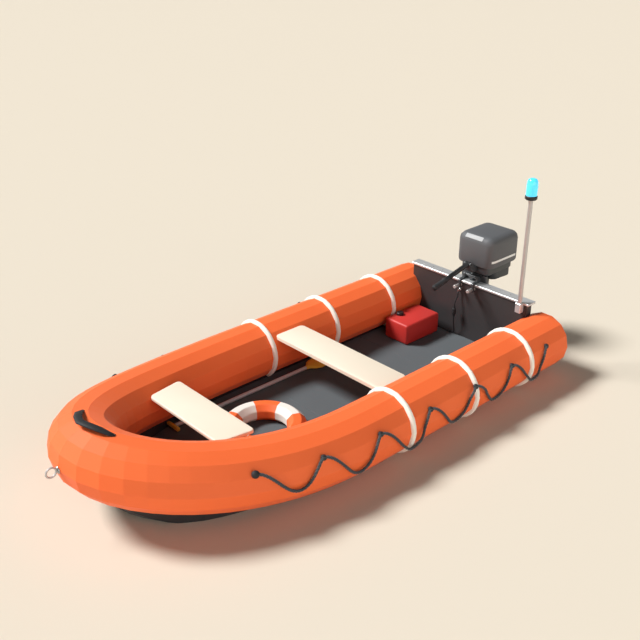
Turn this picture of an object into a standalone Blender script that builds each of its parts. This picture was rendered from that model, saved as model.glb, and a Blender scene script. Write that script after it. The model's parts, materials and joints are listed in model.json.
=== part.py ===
"""Inflatable rescue dinghy with a tiller outboard, afloat.

Metres. +X to the bow, +Y to port, +Z up. Z = 0 is the waterline, X = 0 the middle white band.
"""

import math

import bmesh
import bpy
import numpy as np
from mathutils import Matrix, Vector

for old in list(bpy.data.objects):
    bpy.data.objects.remove(old)

# Gap that touching pieces keep
SEAT = 0.0003

# Buoyancy tubes: a flat-panelled round section on a centreline that is straight aft and half an ellipse at the bow
TUBE_SIDES = 14
TUBE_RADIUS = 0.216
HALF_SIDE = math.pi / TUBE_SIDES
TUBE_FLAT = TUBE_RADIUS * math.cos(HALF_SIDE)
TUBE_Z = 0.250
HALF_BEAM = 0.700
STERN_X = -1.116
BOW_START = 0.924
BOW_LENGTH = 1.547
BOW_POWER = 2.04
BOW_PANELS = 18
SHEER = 0.206
SHEER_POWER = 2.22
STRAIGHT = BOW_START - STERN_X

# White bands round the tubes
BAND_X = {"fore": 0.658, "mid": 0.0, "aft": -0.649}
BAND_HALF = 0.0195
BAND_RADIUS = 0.236

# Floor and hull below it
FLOOR_TOP = TUBE_Z - TUBE_FLAT
FLOOR_THICK = 0.012
FLOOR_HALF = 0.598
FLOOR_SPLITS = (-0.360, 0.740)
HULL_TOP = FLOOR_TOP - FLOOR_THICK - SEAT
KEEL_DEPTH = 0.130
KEEL_HALF = 0.022
CHINE_Z = -0.022

# Transom plate and its cap
TRANSOM_AFT = -1.062
TRANSOM_FRONT = -1.002
CAP_TOP = 0.548
CAP_THICK = 0.020
CAP_AFT = -1.087
CAP_FRONT = -0.990
CAP_HALF = 0.608

# Thwarts: aft edge, front edge, half length at each of the two edges, height of the top
THWART_THICK = 0.028
THWARTS = {"aft": (0.330, 0.605, 0.5495, 0.5495, 0.400), "fore": (1.585, 1.833, 0.398, 0.372, 0.440)}
# Knees under the ends of the fore thwart, that stand it off the tubes: two corners of the port one
KNEE_LOW = (1.600, 0.340, 0.300)
KNEE_HIGH = (1.720, 0.520, 0.4125)

# Loose gear on the floor
BUOY_AT = (1.198, 0.027)
BUOY_RADIUS = 0.235
BUOY_THICK = 0.067
TANK_LOW = (-0.925, -0.4635)
TANK_HIGH = (-0.523, -0.212)
TANK_HEIGHT = 0.178
PADDLE_Y = -0.478
PADDLE_SHAFT = 0.0155
GRIP_RADIUS = 0.0160

# Mast with its flashing light
MAST_X = -0.970
MAST_Y = 0.540
MAST_RADIUS = 0.0175
MAST_FOOT = 0.475
MAST_TOP = 1.388

# Outboard: the tilt pin, the steering axis and the propeller shaft
TILT_X = -1.045
TILT_Z = 0.588
STEER_X = -1.135
PROP_Z = -0.225
ARM_Y = 0.068
ARM_HALF = 0.011
SCREW_Z = 0.504
PAN_BOTTOM = 0.612
COWL_BOTTOM = 0.678
COWL_TOP = 0.935
TILLER_X = -0.985
TILLER_Z = 0.708
RUN = 0.0005

UP = Vector((0, 0, 1))


def paint(name, colour, roughness, metallic=0.0):
    """A Principled material from an sRGB hex colour."""
    def linear(value):
        return value / 12.92 if value <= 0.04045 else ((value + 0.055) / 1.055) ** 2.4

    made = bpy.data.materials.new(name)
    made.use_nodes = True
    shader = made.node_tree.nodes["Principled BSDF"]
    channels = [linear(int(colour[i:i + 2], 16) / 255) for i in (1, 3, 5)]
    shader.inputs["Base Color"].default_value = (*channels, 1)
    shader.inputs["Roughness"].default_value = roughness
    shader.inputs["Metallic"].default_value = metallic
    return made


TUBE_FABRIC = paint("tube fabric", "#f4622b", 0.6)
BAND_WHITE = paint("white band", "#f3efe6", 0.55)
HULL_FABRIC = paint("hull fabric", "#2b2c2f", 0.6)
FLOOR_GREY = paint("floorboard", "#4b4e52", 0.7)
TRANSOM_GREY = paint("transom board", "#3f4145", 0.6)
ALUMINIUM = paint("aluminium", "#c9cccf", 0.35, 1.0)
BOARD = paint("thwart board", "#f6ead2", 0.6)
TANK_RED = paint("tank plastic", "#c3201f", 0.45)
BLACK = paint("black plastic", "#1d1f22", 0.5)
MOTOR_GREY = paint("motor paint", "#3c3f42", 0.45)
YELLOW = paint("yellow plastic", "#e0a020", 0.5)
ROPE = paint("rope", "#3b3e42", 0.8)
LENS = paint("lens", "#36d9ff", 0.2)
RUBBER = paint("rubber", "#33363a", 0.8)


def named(name, mesh, material):
    made = bpy.data.objects.new(name, mesh)
    mesh.materials.append(material)
    bpy.context.scene.collection.objects.link(made)
    return made


def finished(name, bm, material, smooth_angle=30):
    """Turns a bmesh into an object with its faces outwards and its sharp edges kept."""
    bmesh.ops.recalc_face_normals(bm, faces=bm.faces)
    mesh = bpy.data.meshes.new(name)
    bm.to_mesh(mesh)
    bm.free()
    mesh.shade_smooth()
    mesh.set_sharp_from_angle(angle=math.radians(smooth_angle))
    return named(name, mesh, material)


def loft(name, rings, material, closed=False, smooth_angle=30):
    """A skin over rings of equally many points, capped at both ends or joined end to end."""
    bm = bmesh.new()
    loops = [[bm.verts.new(point) for point in ring] for ring in rings]
    count = len(loops[0])
    pairs = list(zip(loops, loops[1:]))
    if closed:
        pairs.append((loops[-1], loops[0]))
    for low, high in pairs:
        for i in range(count):
            j = (i + 1) % count
            bm.faces.new((low[i], low[j], high[j], high[i]))
    if not closed:
        bm.faces.new(loops[0])
        bm.faces.new(loops[-1])
    return finished(name, bm, material, smooth_angle)


def turned(name, profile, material, sides=20, at=(0, 0, 0), axis=UP):
    """A solid of revolution: (radius, height) pairs from foot to top, spun about the axis."""
    bm = bmesh.new()
    points = [bm.verts.new((radius, 0, height)) for radius, height in profile]
    edges = [bm.edges.new(pair) for pair in zip(points, points[1:])]
    bmesh.ops.spin(
        bm, geom=points + edges, cent=(0, 0, 0), axis=(0, 0, 1),
        angle=2 * math.pi, steps=sides, use_merge=True,
    )
    bmesh.ops.remove_doubles(bm, verts=bm.verts, dist=1e-5)
    bmesh.ops.holes_fill(bm, edges=[edge for edge in bm.edges if edge.is_boundary])
    turn = UP.rotation_difference(Vector(axis)).to_matrix().to_4x4()
    bmesh.ops.transform(bm, matrix=Matrix.Translation(at) @ turn, verts=bm.verts)
    return finished(name, bm, material)


def rod(name, start, end, radius, material, sides=16):
    start, end = Vector(start), Vector(end)
    length = (end - start).length
    return turned(name, [(radius, 0), (radius, length)], material, sides, start, end - start)


def box(name, low, high, material, bevel=0.0, segments=2):
    """A block between two corners, its edges rounded by bevel."""
    bm = bmesh.new()
    bmesh.ops.create_cube(bm, size=1)
    low, high = Vector(low), Vector(high)
    bmesh.ops.scale(bm, vec=high - low, verts=bm.verts)
    bmesh.ops.translate(bm, vec=(low + high) / 2, verts=bm.verts)
    if bevel:
        bmesh.ops.bevel(
            bm, geom=bm.edges[:], offset=bevel, segments=segments, profile=0.5,
            affect="EDGES", material=-1,
        )
    return finished(name, bm, material)


def plate(name, outline, low, high, material, axis="Z", bevel=0.0, both=False):
    """A flat outline given in the two other axes, extruded from low to high along axis.

    bevel rounds the rim at high, and the one at low too if both is set.
    """
    def placed(a, b, c):
        return {"X": (c, a, b), "Y": (a, c, b), "Z": (a, b, c)}[axis]

    bm = bmesh.new()
    face = bm.faces.new([bm.verts.new(placed(a, b, low)) for a, b in outline])
    grown = bmesh.ops.extrude_face_region(bm, geom=[face])
    new = [v for v in grown["geom"] if isinstance(v, bmesh.types.BMVert)]
    bmesh.ops.translate(bm, vec=placed(0, 0, high - low), verts=new)
    if bevel:
        ends = (high, low) if both else (high,)
        rims = [
            e for e in bm.edges
            if any(all(abs(v.co["XYZ".index(axis)] - end) < 1e-6 for v in e.verts) for end in ends)
        ]
        bmesh.ops.bevel(
            bm, geom=rims, offset=bevel, segments=2, profile=0.5, affect="EDGES", material=-1
        )
    return finished(name, bm, material)


def sweep(name, path, sizes, material, sides=8):
    """A bar of elliptical section along a path: sizes are (half width, half height) at each point."""
    rings = []
    for i, point in enumerate(path):
        ahead = (path[min(i + 1, len(path) - 1)] - path[max(i - 1, 0)]).normalized()
        side = ahead.cross(UP)
        side = side.normalized() if side.length > 1e-4 else Vector((0, 1, 0))
        over = side.cross(ahead)
        wide, high = sizes[i]
        rings.append([
            point + side * wide * math.cos(a) + over * high * math.sin(a)
            for a in (2 * math.pi * k / sides for k in range(sides))
        ])
    return loft(name, rings, material)


def combine(target, other, operation):
    """A live Boolean, with the other solid kept as a hidden helper."""
    made = target.modifiers.new(other.name, "BOOLEAN")
    made.operation = operation
    made.object = other
    other.hide_render = True
    other.display_type = "WIRE"
    return target


def joined(target, *others):
    for other in others:
        combine(target, other, "UNION")
    return target


def cut(target, *others):
    for other in others:
        combine(target, other, "DIFFERENCE")
    return target


def bow_line():
    """A fine polyline of the bow's half ellipse, with its length along it."""
    turn = np.linspace(0, math.pi / 2, 2001)
    x = BOW_START + BOW_LENGTH * np.sin(turn) ** (2 / BOW_POWER)
    y = HALF_BEAM * np.cos(turn) ** (2 / BOW_POWER)
    along = np.concatenate([[0], np.cumsum(np.hypot(np.diff(x), np.diff(y)))])
    return x, y, along


BOW_X, BOW_Y, BOW_ALONG = bow_line()
BOW_ARC = float(BOW_ALONG[-1])


def rise(x):
    """How far the tubes' centreline climbs towards the bow."""
    return SHEER * (max(0.0, x - BOW_START) / BOW_LENGTH) ** SHEER_POWER


def centre(along):
    """The port centreline's point and its outward level direction, at a length from the stern."""
    if along <= STRAIGHT:
        return Vector((STERN_X + along, HALF_BEAM, TUBE_Z)), Vector((0, 1, 0))
    bow = min(along - STRAIGHT, BOW_ARC)
    x = float(np.interp(bow, BOW_ALONG, BOW_X))
    y = float(np.interp(bow, BOW_ALONG, BOW_Y))
    step = 0.004
    near, far = max(bow - step, 0), min(bow + step, BOW_ARC)
    ahead = Vector((
        float(np.interp(far, BOW_ALONG, BOW_X) - np.interp(near, BOW_ALONG, BOW_X)),
        float(np.interp(far, BOW_ALONG, BOW_Y) - np.interp(near, BOW_ALONG, BOW_Y)),
        0,
    )).normalized()
    if bow >= BOW_ARC - 1e-6:
        ahead = Vector((0, -1, 0))
    return Vector((x, y, TUBE_Z + rise(x))), Vector((-ahead.y, ahead.x, 0))


def on_tube(along, angle, radius, side=1):
    """A point at an angle round the tube, 0 outboard and 90 degrees on top. side is 1 to port, -1 to starboard."""
    middle, outward = centre(along)
    point = middle + radius * (math.cos(angle) * outward + math.sin(angle) * UP)
    return Vector((point.x, side * point.y, point.z))


def tube_ring(along, radius, side):
    return [on_tube(along, k * 2 * HALF_SIDE, radius, side) for k in range(TUBE_SIDES)]


def bow_stations():
    """Lengths from the stern at the bow's cross seams."""
    return [STRAIGHT + BOW_ARC * i / BOW_PANELS for i in range(BOW_PANELS + 1)]


def on_panels(along, angle, radius, side):
    """As on_tube, but over the bow's flat panels between its cross seams."""
    if along <= STRAIGHT:
        return on_tube(along, angle, radius, side)
    place = (along - STRAIGHT) / BOW_ARC * BOW_PANELS
    first = min(int(place), BOW_PANELS - 1)
    seams = bow_stations()
    near = on_tube(seams[first], angle, radius, side)
    return near.lerp(on_tube(seams[first + 1], angle, radius, side), place - first)


# How far behind the stern end, and how wide against the full tube, its domed end is
STERN_DOME = ((-0.060, 0.42), (-0.046, 0.74), (-0.022, 0.93), (0.0, 1.0))


def tubes():
    for side, word in ((1, "port"), (-1, "starboard")):
        rings = [tube_ring(back, wide * TUBE_RADIUS, side) for back, wide in STERN_DOME]
        rings.append(tube_ring(STRAIGHT - SEAT / 2, TUBE_RADIUS, side))
        loft(f"tube_{word}", rings, TUBE_FABRIC, smooth_angle=1)
        stations = bow_stations()
        stations[0] += SEAT / 2
        rings = [tube_ring(along, TUBE_RADIUS, side) for along in stations]
        rings[-1] = [point + Vector((0, side * SEAT / 2, 0)) for point in rings[-1]]
        loft(f"tube_bow_{word}", rings, TUBE_FABRIC, smooth_angle=1)


def tube_cutters(name, stations):
    """The tubes a little larger, to trim what rests on them."""
    made = []
    for side in (1, -1):
        rings = [tube_ring(along, TUBE_RADIUS + 2 * SEAT, side) for along in stations]
        made.append(loft(f"{name}_{side}", rings, TUBE_FABRIC))
    return made


def flat_radius(angle):
    """Distance from the tube's centreline to its flat panels at an angle round it."""
    return TUBE_FLAT / math.cos((angle / (2 * HALF_SIDE) % 1 - 0.5) * 2 * HALF_SIDE)


def bands():
    """Half-round strips bent over the tube's panels, from the hull's rim outboard to the floor inboard."""
    steps = [*range(-6, 19), 18.44]
    for side, word in ((1, "port"), (-1, "starboard")):
        for place, x in BAND_X.items():
            rings = []
            for step in steps:
                foot = flat_radius(step * HALF_SIDE) + SEAT
                rings.append([
                    on_tube(x - STERN_X, step * HALF_SIDE, foot + (BAND_RADIUS - foot) * math.sin(a), side)
                    + Vector((BAND_HALF * math.cos(a), 0, 0))
                    for a in (math.pi * k / 7 for k in range(8))
                ])
            loft(f"band_{word}_{place}", rings, BAND_WHITE, smooth_angle=50)


# Lifeline anchors from the stern forward: X at the centreline, height angle in degrees, size of the knot
LINE_ANCHORS = (
    (-0.842, 27.0, 0.0195), (-0.412, 25.0, 0.0195), (0.032, 25.0, 0.0195), (0.479, 26.0, 0.0195),
    (0.950, 29.0, 0.0195), (1.383, 31.0, 0.0195), (1.800, 31.0, 0.0240),
)
# How far round the tube each length hangs below its anchors, in degrees, and where along it that is
LINE_DROPS = (50.0, 52.0, 52.0, 52.0, 49.0, 41.0)
LINE_LOW = 0.43
LINE_RADIUS = 0.0108
LINE_STEPS = 14
KNOT_FLAT = 0.62


def length_at(x):
    """Length along the centreline from the stern to a given X."""
    if x <= BOW_START:
        return x - STERN_X
    return STRAIGHT + float(np.interp(x, BOW_X, BOW_ALONG))


def over_bands(x):
    """Extra height of the lifeline where it crosses a band, and a little over the bow's seams."""
    near = min(abs(x - band) for band in BAND_X.values())
    part = min(1.0, max(0.0, (0.105 - near) / 0.058))
    seam = 0.0028 * min(1.0, max(0.0, x - BOW_START + 0.1) / 0.1)
    return seam + (BAND_RADIUS - TUBE_RADIUS + 0.0015) * part * part * (3 - 2 * part)


def line_radius(along):
    """Distance of the lifeline's middle from the tube's centreline."""
    return TUBE_RADIUS + LINE_RADIUS + 0.0020 + over_bands(along + STERN_X)


def knot(name, along, angle, size, side):
    """A flattened ball that sits on the tube's panels."""
    middle, outward = centre(along)
    out = math.cos(angle) * outward + math.sin(angle) * UP
    out = Vector((out.x, side * out.y, out.z))
    high = size * KNOT_FLAT
    at = on_panels(along, angle, TUBE_RADIUS + SEAT + high + over_bands(along + STERN_X), side)
    bm = bmesh.new()
    bmesh.ops.create_uvsphere(bm, u_segments=12, v_segments=8, radius=1)
    turn = UP.rotation_difference(out).to_matrix().to_4x4()
    stretch = Matrix.Diagonal((size, size, high, 1))
    bmesh.ops.transform(bm, matrix=Matrix.Translation(at) @ turn @ stretch, verts=bm.verts)
    return finished(name, bm, ROPE)


def lifelines():
    anchors = [(length_at(x), math.radians(up), size) for x, up, size in LINE_ANCHORS]
    skew = math.log(0.5) / math.log(LINE_LOW)
    for side, word in ((1, "port"), (-1, "starboard")):
        path = []
        for (near, low, _), (far, high, _), drop in zip(anchors, anchors[1:], LINE_DROPS):
            for step in range(LINE_STEPS):
                part = step / LINE_STEPS
                along = near + (far - near) * part
                sag = math.radians(drop) * math.sin(math.pi * part ** skew) ** 2
                path.append(on_panels(along, low + (high - low) * part - sag, line_radius(along), side))
        last, up, _ = anchors[-1]
        path.append(on_panels(last, up, line_radius(last), side))
        line = sweep(f"lifeline_{word}", path, [(LINE_RADIUS, LINE_RADIUS)] * len(path), ROPE)
        for i, (along, angle, size) in enumerate(anchors):
            joined(line, knot(f"knot_{word}_{i}", along, angle, size, side))


def hull_section(x, half, tube_bottom):
    """Half outline of the hull at one station, from the floor's edge round to the keel."""
    forward = max(0.0, (x - 1.2) / (BOW_START + BOW_LENGTH - 1.2))
    bow = max(0.0, x - 2.0) / 0.47
    keel = -KEEL_DEPTH + 0.06 * max(0.0, -x) / 1.062 + 0.30 * forward ** 6
    chine = CHINE_Z + 0.20 * bow * bow
    rim = tube_bottom - 2 * SEAT - 0.002 * min(1.0, bow)
    shelf = max(0.0, (x - 2.2) / 0.27)
    floor = HULL_TOP + (rim - 0.02 - HULL_TOP) * min(1.0, shelf)
    inner = min(FLOOR_HALF + 0.002, half - 0.100) if half > 0.2 else half * 0.45
    return [
        (inner, floor),
        (max(half - 0.045, inner + 0.01), rim),
        (half, rim),
        (half - 0.05 - 0.10 * half * bow, chine),
        (0.55 * half, keel + 0.35 * (chine - keel)),
        (min(KEEL_HALF, 0.2 * half), keel),
    ]


def hull():
    """The skin below the tubes: a shallow V with a keel, rising to the tubes at the bow."""
    stations = [(x, HALF_BEAM, FLOOR_TOP) for x in (TRANSOM_AFT, -0.5, 0.1, BOW_START)]
    middles = [centre(along)[0] for along in bow_stations()]
    last = middles[-2] * 0.45 + middles[-1] * 0.55
    for middle in (*middles[1:-1], last):
        stations.append((middle.x, middle.y, middle.z - TUBE_FLAT))
    rings = []
    for x, half, tube_bottom in stations:
        port = hull_section(x, half, tube_bottom)
        rings.append(
            [Vector((x, y, z)) for y, z in port] + [Vector((x, -y, z)) for y, z in reversed(port)]
        )
    loft("hull", rings, HULL_FABRIC, smooth_angle=25)


def floorboards():
    """Three boards that lie in the hull's recess, the front one following the bow."""
    low = FLOOR_TOP - FLOOR_THICK
    aft, fore = FLOOR_SPLITS
    for name, start, end in (("aft", TRANSOM_FRONT, aft), ("middle", aft, fore)):
        box(
            f"floorboard_{name}",
            (start + SEAT, -FLOOR_HALF, low), (end - SEAT, FLOOR_HALF, FLOOR_TOP), FLOOR_GREY,
        )
    edge = [(fore + SEAT, FLOOR_HALF)]
    for along in bow_stations():
        middle = centre(along)[0]
        if middle.x < 2.2:
            edge.append((middle.x, min(FLOOR_HALF, middle.y - 0.104)))
    outline = edge + [(x, -y) for x, y in reversed(edge)]
    plate("floorboard_fore", outline, low, FLOOR_TOP, FLOOR_GREY)


def transom():
    """A board whose sides follow the tubes' inner panels, with a bar along its top."""
    side = []
    top = CAP_TOP - CAP_THICK - SEAT
    half = 0.590
    grown = TUBE_RADIUS + 2 * SEAT
    corners = []
    for k in range(4, 11):
        angle = k * 2 * HALF_SIDE
        corners.append((HALF_BEAM + grown * math.cos(angle), TUBE_Z + grown * math.sin(angle)))
    def cross(first, second, y):
        part = (y - first[0]) / (second[0] - first[0])
        return (y, first[1] + part * (second[1] - first[1]))
    side.append((half, top))
    side.append(cross(corners[0], corners[1], half))
    side.extend(corners[1:-1])
    side.append(cross(corners[-2], corners[-1], FLOOR_HALF))
    side.append((FLOOR_HALF, HULL_TOP + SEAT))
    outline = side + [(-y, z) for y, z in reversed(side)]
    plate("transom", outline, TRANSOM_AFT, TRANSOM_FRONT, TRANSOM_GREY, axis="X")
    box(
        "transom_cap", (CAP_AFT, -CAP_HALF, CAP_TOP - CAP_THICK), (CAP_FRONT, CAP_HALF, CAP_TOP),
        ALUMINIUM, bevel=0.003, segments=1,
    )


def rounded_outline(low, high, radius, steps=4):
    """A rectangle with round corners, as (x, y) points."""
    points = []
    for cx, cy, start in (
        (high[0] - radius, high[1] - radius, 0), (low[0] + radius, high[1] - radius, 90),
        (low[0] + radius, low[1] + radius, 180), (high[0] - radius, low[1] + radius, 270),
    ):
        for i in range(steps + 1):
            angle = math.radians(start + 90 * i / steps)
            points.append((cx + radius * math.cos(angle), cy + radius * math.sin(angle)))
    return points


def rounded_ends(aft, front, half_aft, half_front, radius, steps=4):
    """A board's outline, a little narrower at one edge, with round corners."""
    points = []
    for cx, half, start, side in (
        (front - radius, half_front, 0, 1), (aft + radius, half_aft, 90, 1),
        (aft + radius, half_aft, 180, -1), (front - radius, half_front, 270, -1),
    ):
        for i in range(steps + 1):
            angle = math.radians(start + 90 * i / steps)
            points.append((cx + radius * math.cos(angle), side * (half - radius) + radius * math.sin(angle)))
    return points


def thwarts():
    trims = tube_cutters("thwart_trim", [0.0, *bow_stations()[:-2]])
    for place, (aft, front, half_aft, half_front, top) in THWARTS.items():
        board = plate(
            f"thwart_{place}", rounded_ends(aft, front, half_aft, half_front, 0.032),
            top - THWART_THICK, top, BOARD, bevel=0.005,
        )
        if place == "fore":
            for side in (1, -1):
                low, high = [
                    Vector((x, y, z)) for (x, z), y in zip(
                        ((KNEE_LOW[0], KNEE_LOW[2]), (KNEE_HIGH[0], KNEE_HIGH[2])),
                        sorted((side * KNEE_LOW[1], side * KNEE_HIGH[1])),
                    )
                ]
                joined(board, box(f"knee_{side}", low, high, BOARD))
        cut(board, *trims)


def lifebuoy():
    bm = bmesh.new()
    middle = Vector((*BUOY_AT, FLOOR_TOP + SEAT + BUOY_THICK * math.cos(math.pi / 12)))
    ring = [
        bm.verts.new(middle + Vector((
            BUOY_RADIUS + BUOY_THICK * math.cos(a), 0, BUOY_THICK * math.sin(a),
        )))
        for a in (2 * math.pi * k / 12 + math.pi / 12 for k in range(12))
    ]
    edges = [bm.edges.new((ring[i], ring[(i + 1) % 12])) for i in range(12)]
    bmesh.ops.spin(
        bm, geom=ring + edges, cent=middle, axis=(0, 0, 1), angle=2 * math.pi, steps=32,
        use_merge=True,
    )
    bmesh.ops.remove_doubles(bm, verts=bm.verts, dist=1e-5)
    finished("lifebuoy", bm, TUBE_FABRIC)


# Where the hose leaves the transom and where it joins the tank's aft face
LINE_FITTING = Vector((-0.978, -0.072, 0.454))
TANK_FITTING = Vector((TANK_LOW[0] - SEAT, -0.320, 0.054))
HOSE_RADIUS = 0.006


def fuel_tank():
    foot = FLOOR_TOP + SEAT
    top = foot + TANK_HEIGHT
    box("fuel_tank", (*TANK_LOW, foot), (*TANK_HIGH, top), TANK_RED, bevel=0.020, segments=3)
    turned(
        "fuel_cap", [(0, 0), (0.031, 0), (0.031, 0.018), (0.026, 0.023), (0, 0.023)], BLACK,
        at=(-0.650, -0.410, top + SEAT),
    )
    turned(
        "tank_fitting", [(0, 0), (0.012, 0), (0.012, 0.004), (0.0085, 0.005), (0.0085, 0.0088), (0, 0.0088)],
        ALUMINIUM, 14, TANK_FITTING, (-1, 0, 0),
    )


# Bulb: upper end, then the (radius, depth) steps down to its lower end
BULB_TOP = Vector((-0.948, -0.078, 0.313))
BULB_STEPS = ((0, 0), (0.009, 0), (0.010, 0.010), (0.0165, 0.022), (0.0175, 0.045), (0.0165, 0.068),
              (0.010, 0.080), (0.009, 0.090), (0, 0.090))
BULB_LENGTH = 0.090
# Hand-chosen route of the hose above and below the bulb
HOSE_UPPER = ((-0.978, -0.072, 0.440), (-0.978, -0.072, 0.431), (-0.9736, -0.0729, 0.404),
              (-0.963, -0.075, 0.3765), (-0.9524, -0.0771, 0.349), (-0.948, -0.078, 0.322),
              (-0.948, -0.078, 0.3135))
HOSE_LOWER = ((-0.948, -0.078, 0.2225), (-0.949, -0.078, 0.180), (-0.956, -0.078, 0.135),
              (-0.967, -0.080, 0.100), (-0.978, -0.088, 0.071), (-0.986, -0.106, 0.054),
              (-0.9895, -0.135, 0.0465), (-0.990, -0.170, 0.0459), (-0.990, -0.220, 0.0459),
              (-0.990, -0.272, 0.0462), (-0.9863, -0.2904, 0.0472), (-0.9759, -0.3059, 0.0498),
              (-0.9604, -0.3163, 0.0528), (-0.942, -0.320, 0.0540), (-0.9345, -0.320, 0.0540))


def smooth_route(points, spacing):
    """Points every so often along a smooth curve through the given ones."""
    p = [Vector(point) for point in points]
    fine = []
    for i in range(len(p) - 1):
        a, b = p[max(i - 1, 0)], p[i]
        c, d = p[i + 1], p[min(i + 2, len(p) - 1)]
        for k in range(12):
            t = k / 12
            fine.append(0.5 * (
                2 * b + (c - a) * t + (2 * a - 5 * b + 4 * c - d) * t * t
                + (3 * b - a - 3 * c + d) * t ** 3
            ))
    fine.append(p[-1])
    steps = np.cumsum([0.0] + [(v - u).length for u, v in zip(fine, fine[1:])])
    count = max(2, round(steps[-1] / spacing))
    wanted = np.linspace(0, steps[-1], count + 1)
    columns = [np.interp(wanted, steps, [point[axis] for point in fine]) for axis in range(3)]
    return [Vector(point) for point in zip(*columns)]


def hose(name, route):
    data = bpy.data.curves.new(name, "CURVE")
    data.dimensions = "3D"
    data.bevel_depth = HOSE_RADIUS
    data.bevel_resolution = 3
    data.use_fill_caps = True
    points = smooth_route(route, 0.0125)
    spline = data.splines.new("POLY")
    spline.points.add(len(points) - 1)
    for knot, point in zip(spline.points, points):
        knot.co = (*point, 1)
    return named(name, data, BLACK)


def fuel_line():
    x, y, z = LINE_FITTING
    fitting = turned(
        "line_fitting",
        [(0, 0), (0.014, 0), (0.014, 0.004), (0.0075, 0.006), (0.0075, x - TRANSOM_FRONT), (0, 0.0262)],
        ALUMINIUM, 16, (TRANSOM_FRONT + SEAT, y, z), (1, 0, 0),
    )
    joined(fitting, turned(
        "elbow", [(0, 0), (0.0055, 0), (0.0055, 0.007), (0.0085, 0.0075), (0.0085, 0.0210), (0, 0.0225)],
        ALUMINIUM, 16, (x, y, HOSE_UPPER[0][2] + SEAT),
    ))
    turned("primer_bulb", BULB_STEPS, BLACK, 16, BULB_TOP, (0, 0, -1))
    hose("fuel_hose_upper", HOSE_UPPER)
    hose("fuel_hose_lower", HOSE_LOWER)


# Blade sections along the paddle: X, half width, half thickness
BLADE = ((0.3597, 0.016, 0.0145), (0.335, 0.026, 0.012), (0.300, 0.064, 0.008), (0.262, 0.080, 0.006),
         (0.150, 0.082, 0.005), (0.072, 0.078, 0.005), (0.038, 0.056, 0.0045), (0.027, 0.026, 0.004))


def paddle():
    level = FLOOR_TOP + SEAT + GRIP_RADIUS * math.cos(HALF_SIDE)
    rod("paddle_shaft", (0.360, PADDLE_Y, level), (1.588, PADDLE_Y, level), PADDLE_SHAFT, ALUMINIUM, 14)
    grip_x = 1.588 + SEAT + GRIP_RADIUS
    turned(
        "paddle_grip",
        [(0, 0), (0.011, 0.003), (GRIP_RADIUS, 0.012), (GRIP_RADIUS, 0.128), (0.011, 0.137), (0, 0.140)],
        YELLOW, 14, (grip_x, PADDLE_Y - 0.070, level), (0, 1, 0),
    )
    rings = []
    for x, wide, thick in BLADE:
        rings.append([
            Vector((x, PADDLE_Y + wide * math.cos(a), level + thick * math.sin(a)))
            for a in (2 * math.pi * k / 14 for k in range(14))
        ])
    loft("paddle_blade", rings, YELLOW, smooth_angle=50)


# Bow handle, from its end at the side to the middle: X, Y, height over the tube's top, half width, half height
HANDLE = (
    (2.400, 0.185, 0.000, 0.012, 0.006), (2.425, 0.160, 0.008, 0.020, 0.008), (2.455, 0.125, 0.025, 0.025, 0.010),
    (2.490, 0.070, 0.037, 0.026, 0.010), (2.515, 0.000, 0.040, 0.026, 0.010),
)


def top_of_tube(x, y):
    """Height of the bow tube's top over a point of the plan."""
    nearest = int(np.argmin(np.hypot(BOW_X - x, BOW_Y - abs(y))))
    return TUBE_Z + rise(float(BOW_X[nearest])) + TUBE_FLAT


def bow_handle():
    """A moulded grab handle that stands on the bow at its two ends."""
    half = [(Vector((x, y, top_of_tube(x, y) + over)), (wide, high)) for x, y, over, wide, high in HANDLE]
    other = [(Vector((p.x, -p.y, p.z)), size) for p, size in reversed(half[:-1])]
    path, sizes = zip(*half, *other)
    handle = sweep("bow_handle", list(path), list(sizes), RUBBER, sides=10)
    cut(handle, *tube_cutters("handle_trim", bow_stations()[-7:]))


TOW_PLATE = 0.0042
TOW_RADIUS = 0.031
TOW_THICK = 0.0065


def tow_ring():
    """A ring welded to a small plate on the bow's foremost point."""
    tip = BOW_START + BOW_LENGTH + TUBE_RADIUS + SEAT
    level = TUBE_Z + SHEER
    turned(
        "tow_plate", [(0, 0), (0.024, 0), (0.022, TOW_PLATE), (0, TOW_PLATE)], ALUMINIUM, 18,
        (tip, 0, level), (1, 0, 0),
    )
    middle = Vector((tip + TOW_PLATE + SEAT + TOW_RADIUS + TOW_THICK, 0, level))
    rings = []
    for k in range(24):
        turn = 2 * math.pi * k / 24
        out = Vector((math.cos(turn), 0, math.sin(turn)))
        rings.append([
            middle + out * (TOW_RADIUS + TOW_THICK * math.cos(a)) + Vector((0, TOW_THICK * math.sin(a), 0))
            for a in (2 * math.pi * j / 8 for j in range(8))
        ])
    loft("tow_ring", rings, ALUMINIUM, closed=True, smooth_angle=60)


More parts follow.
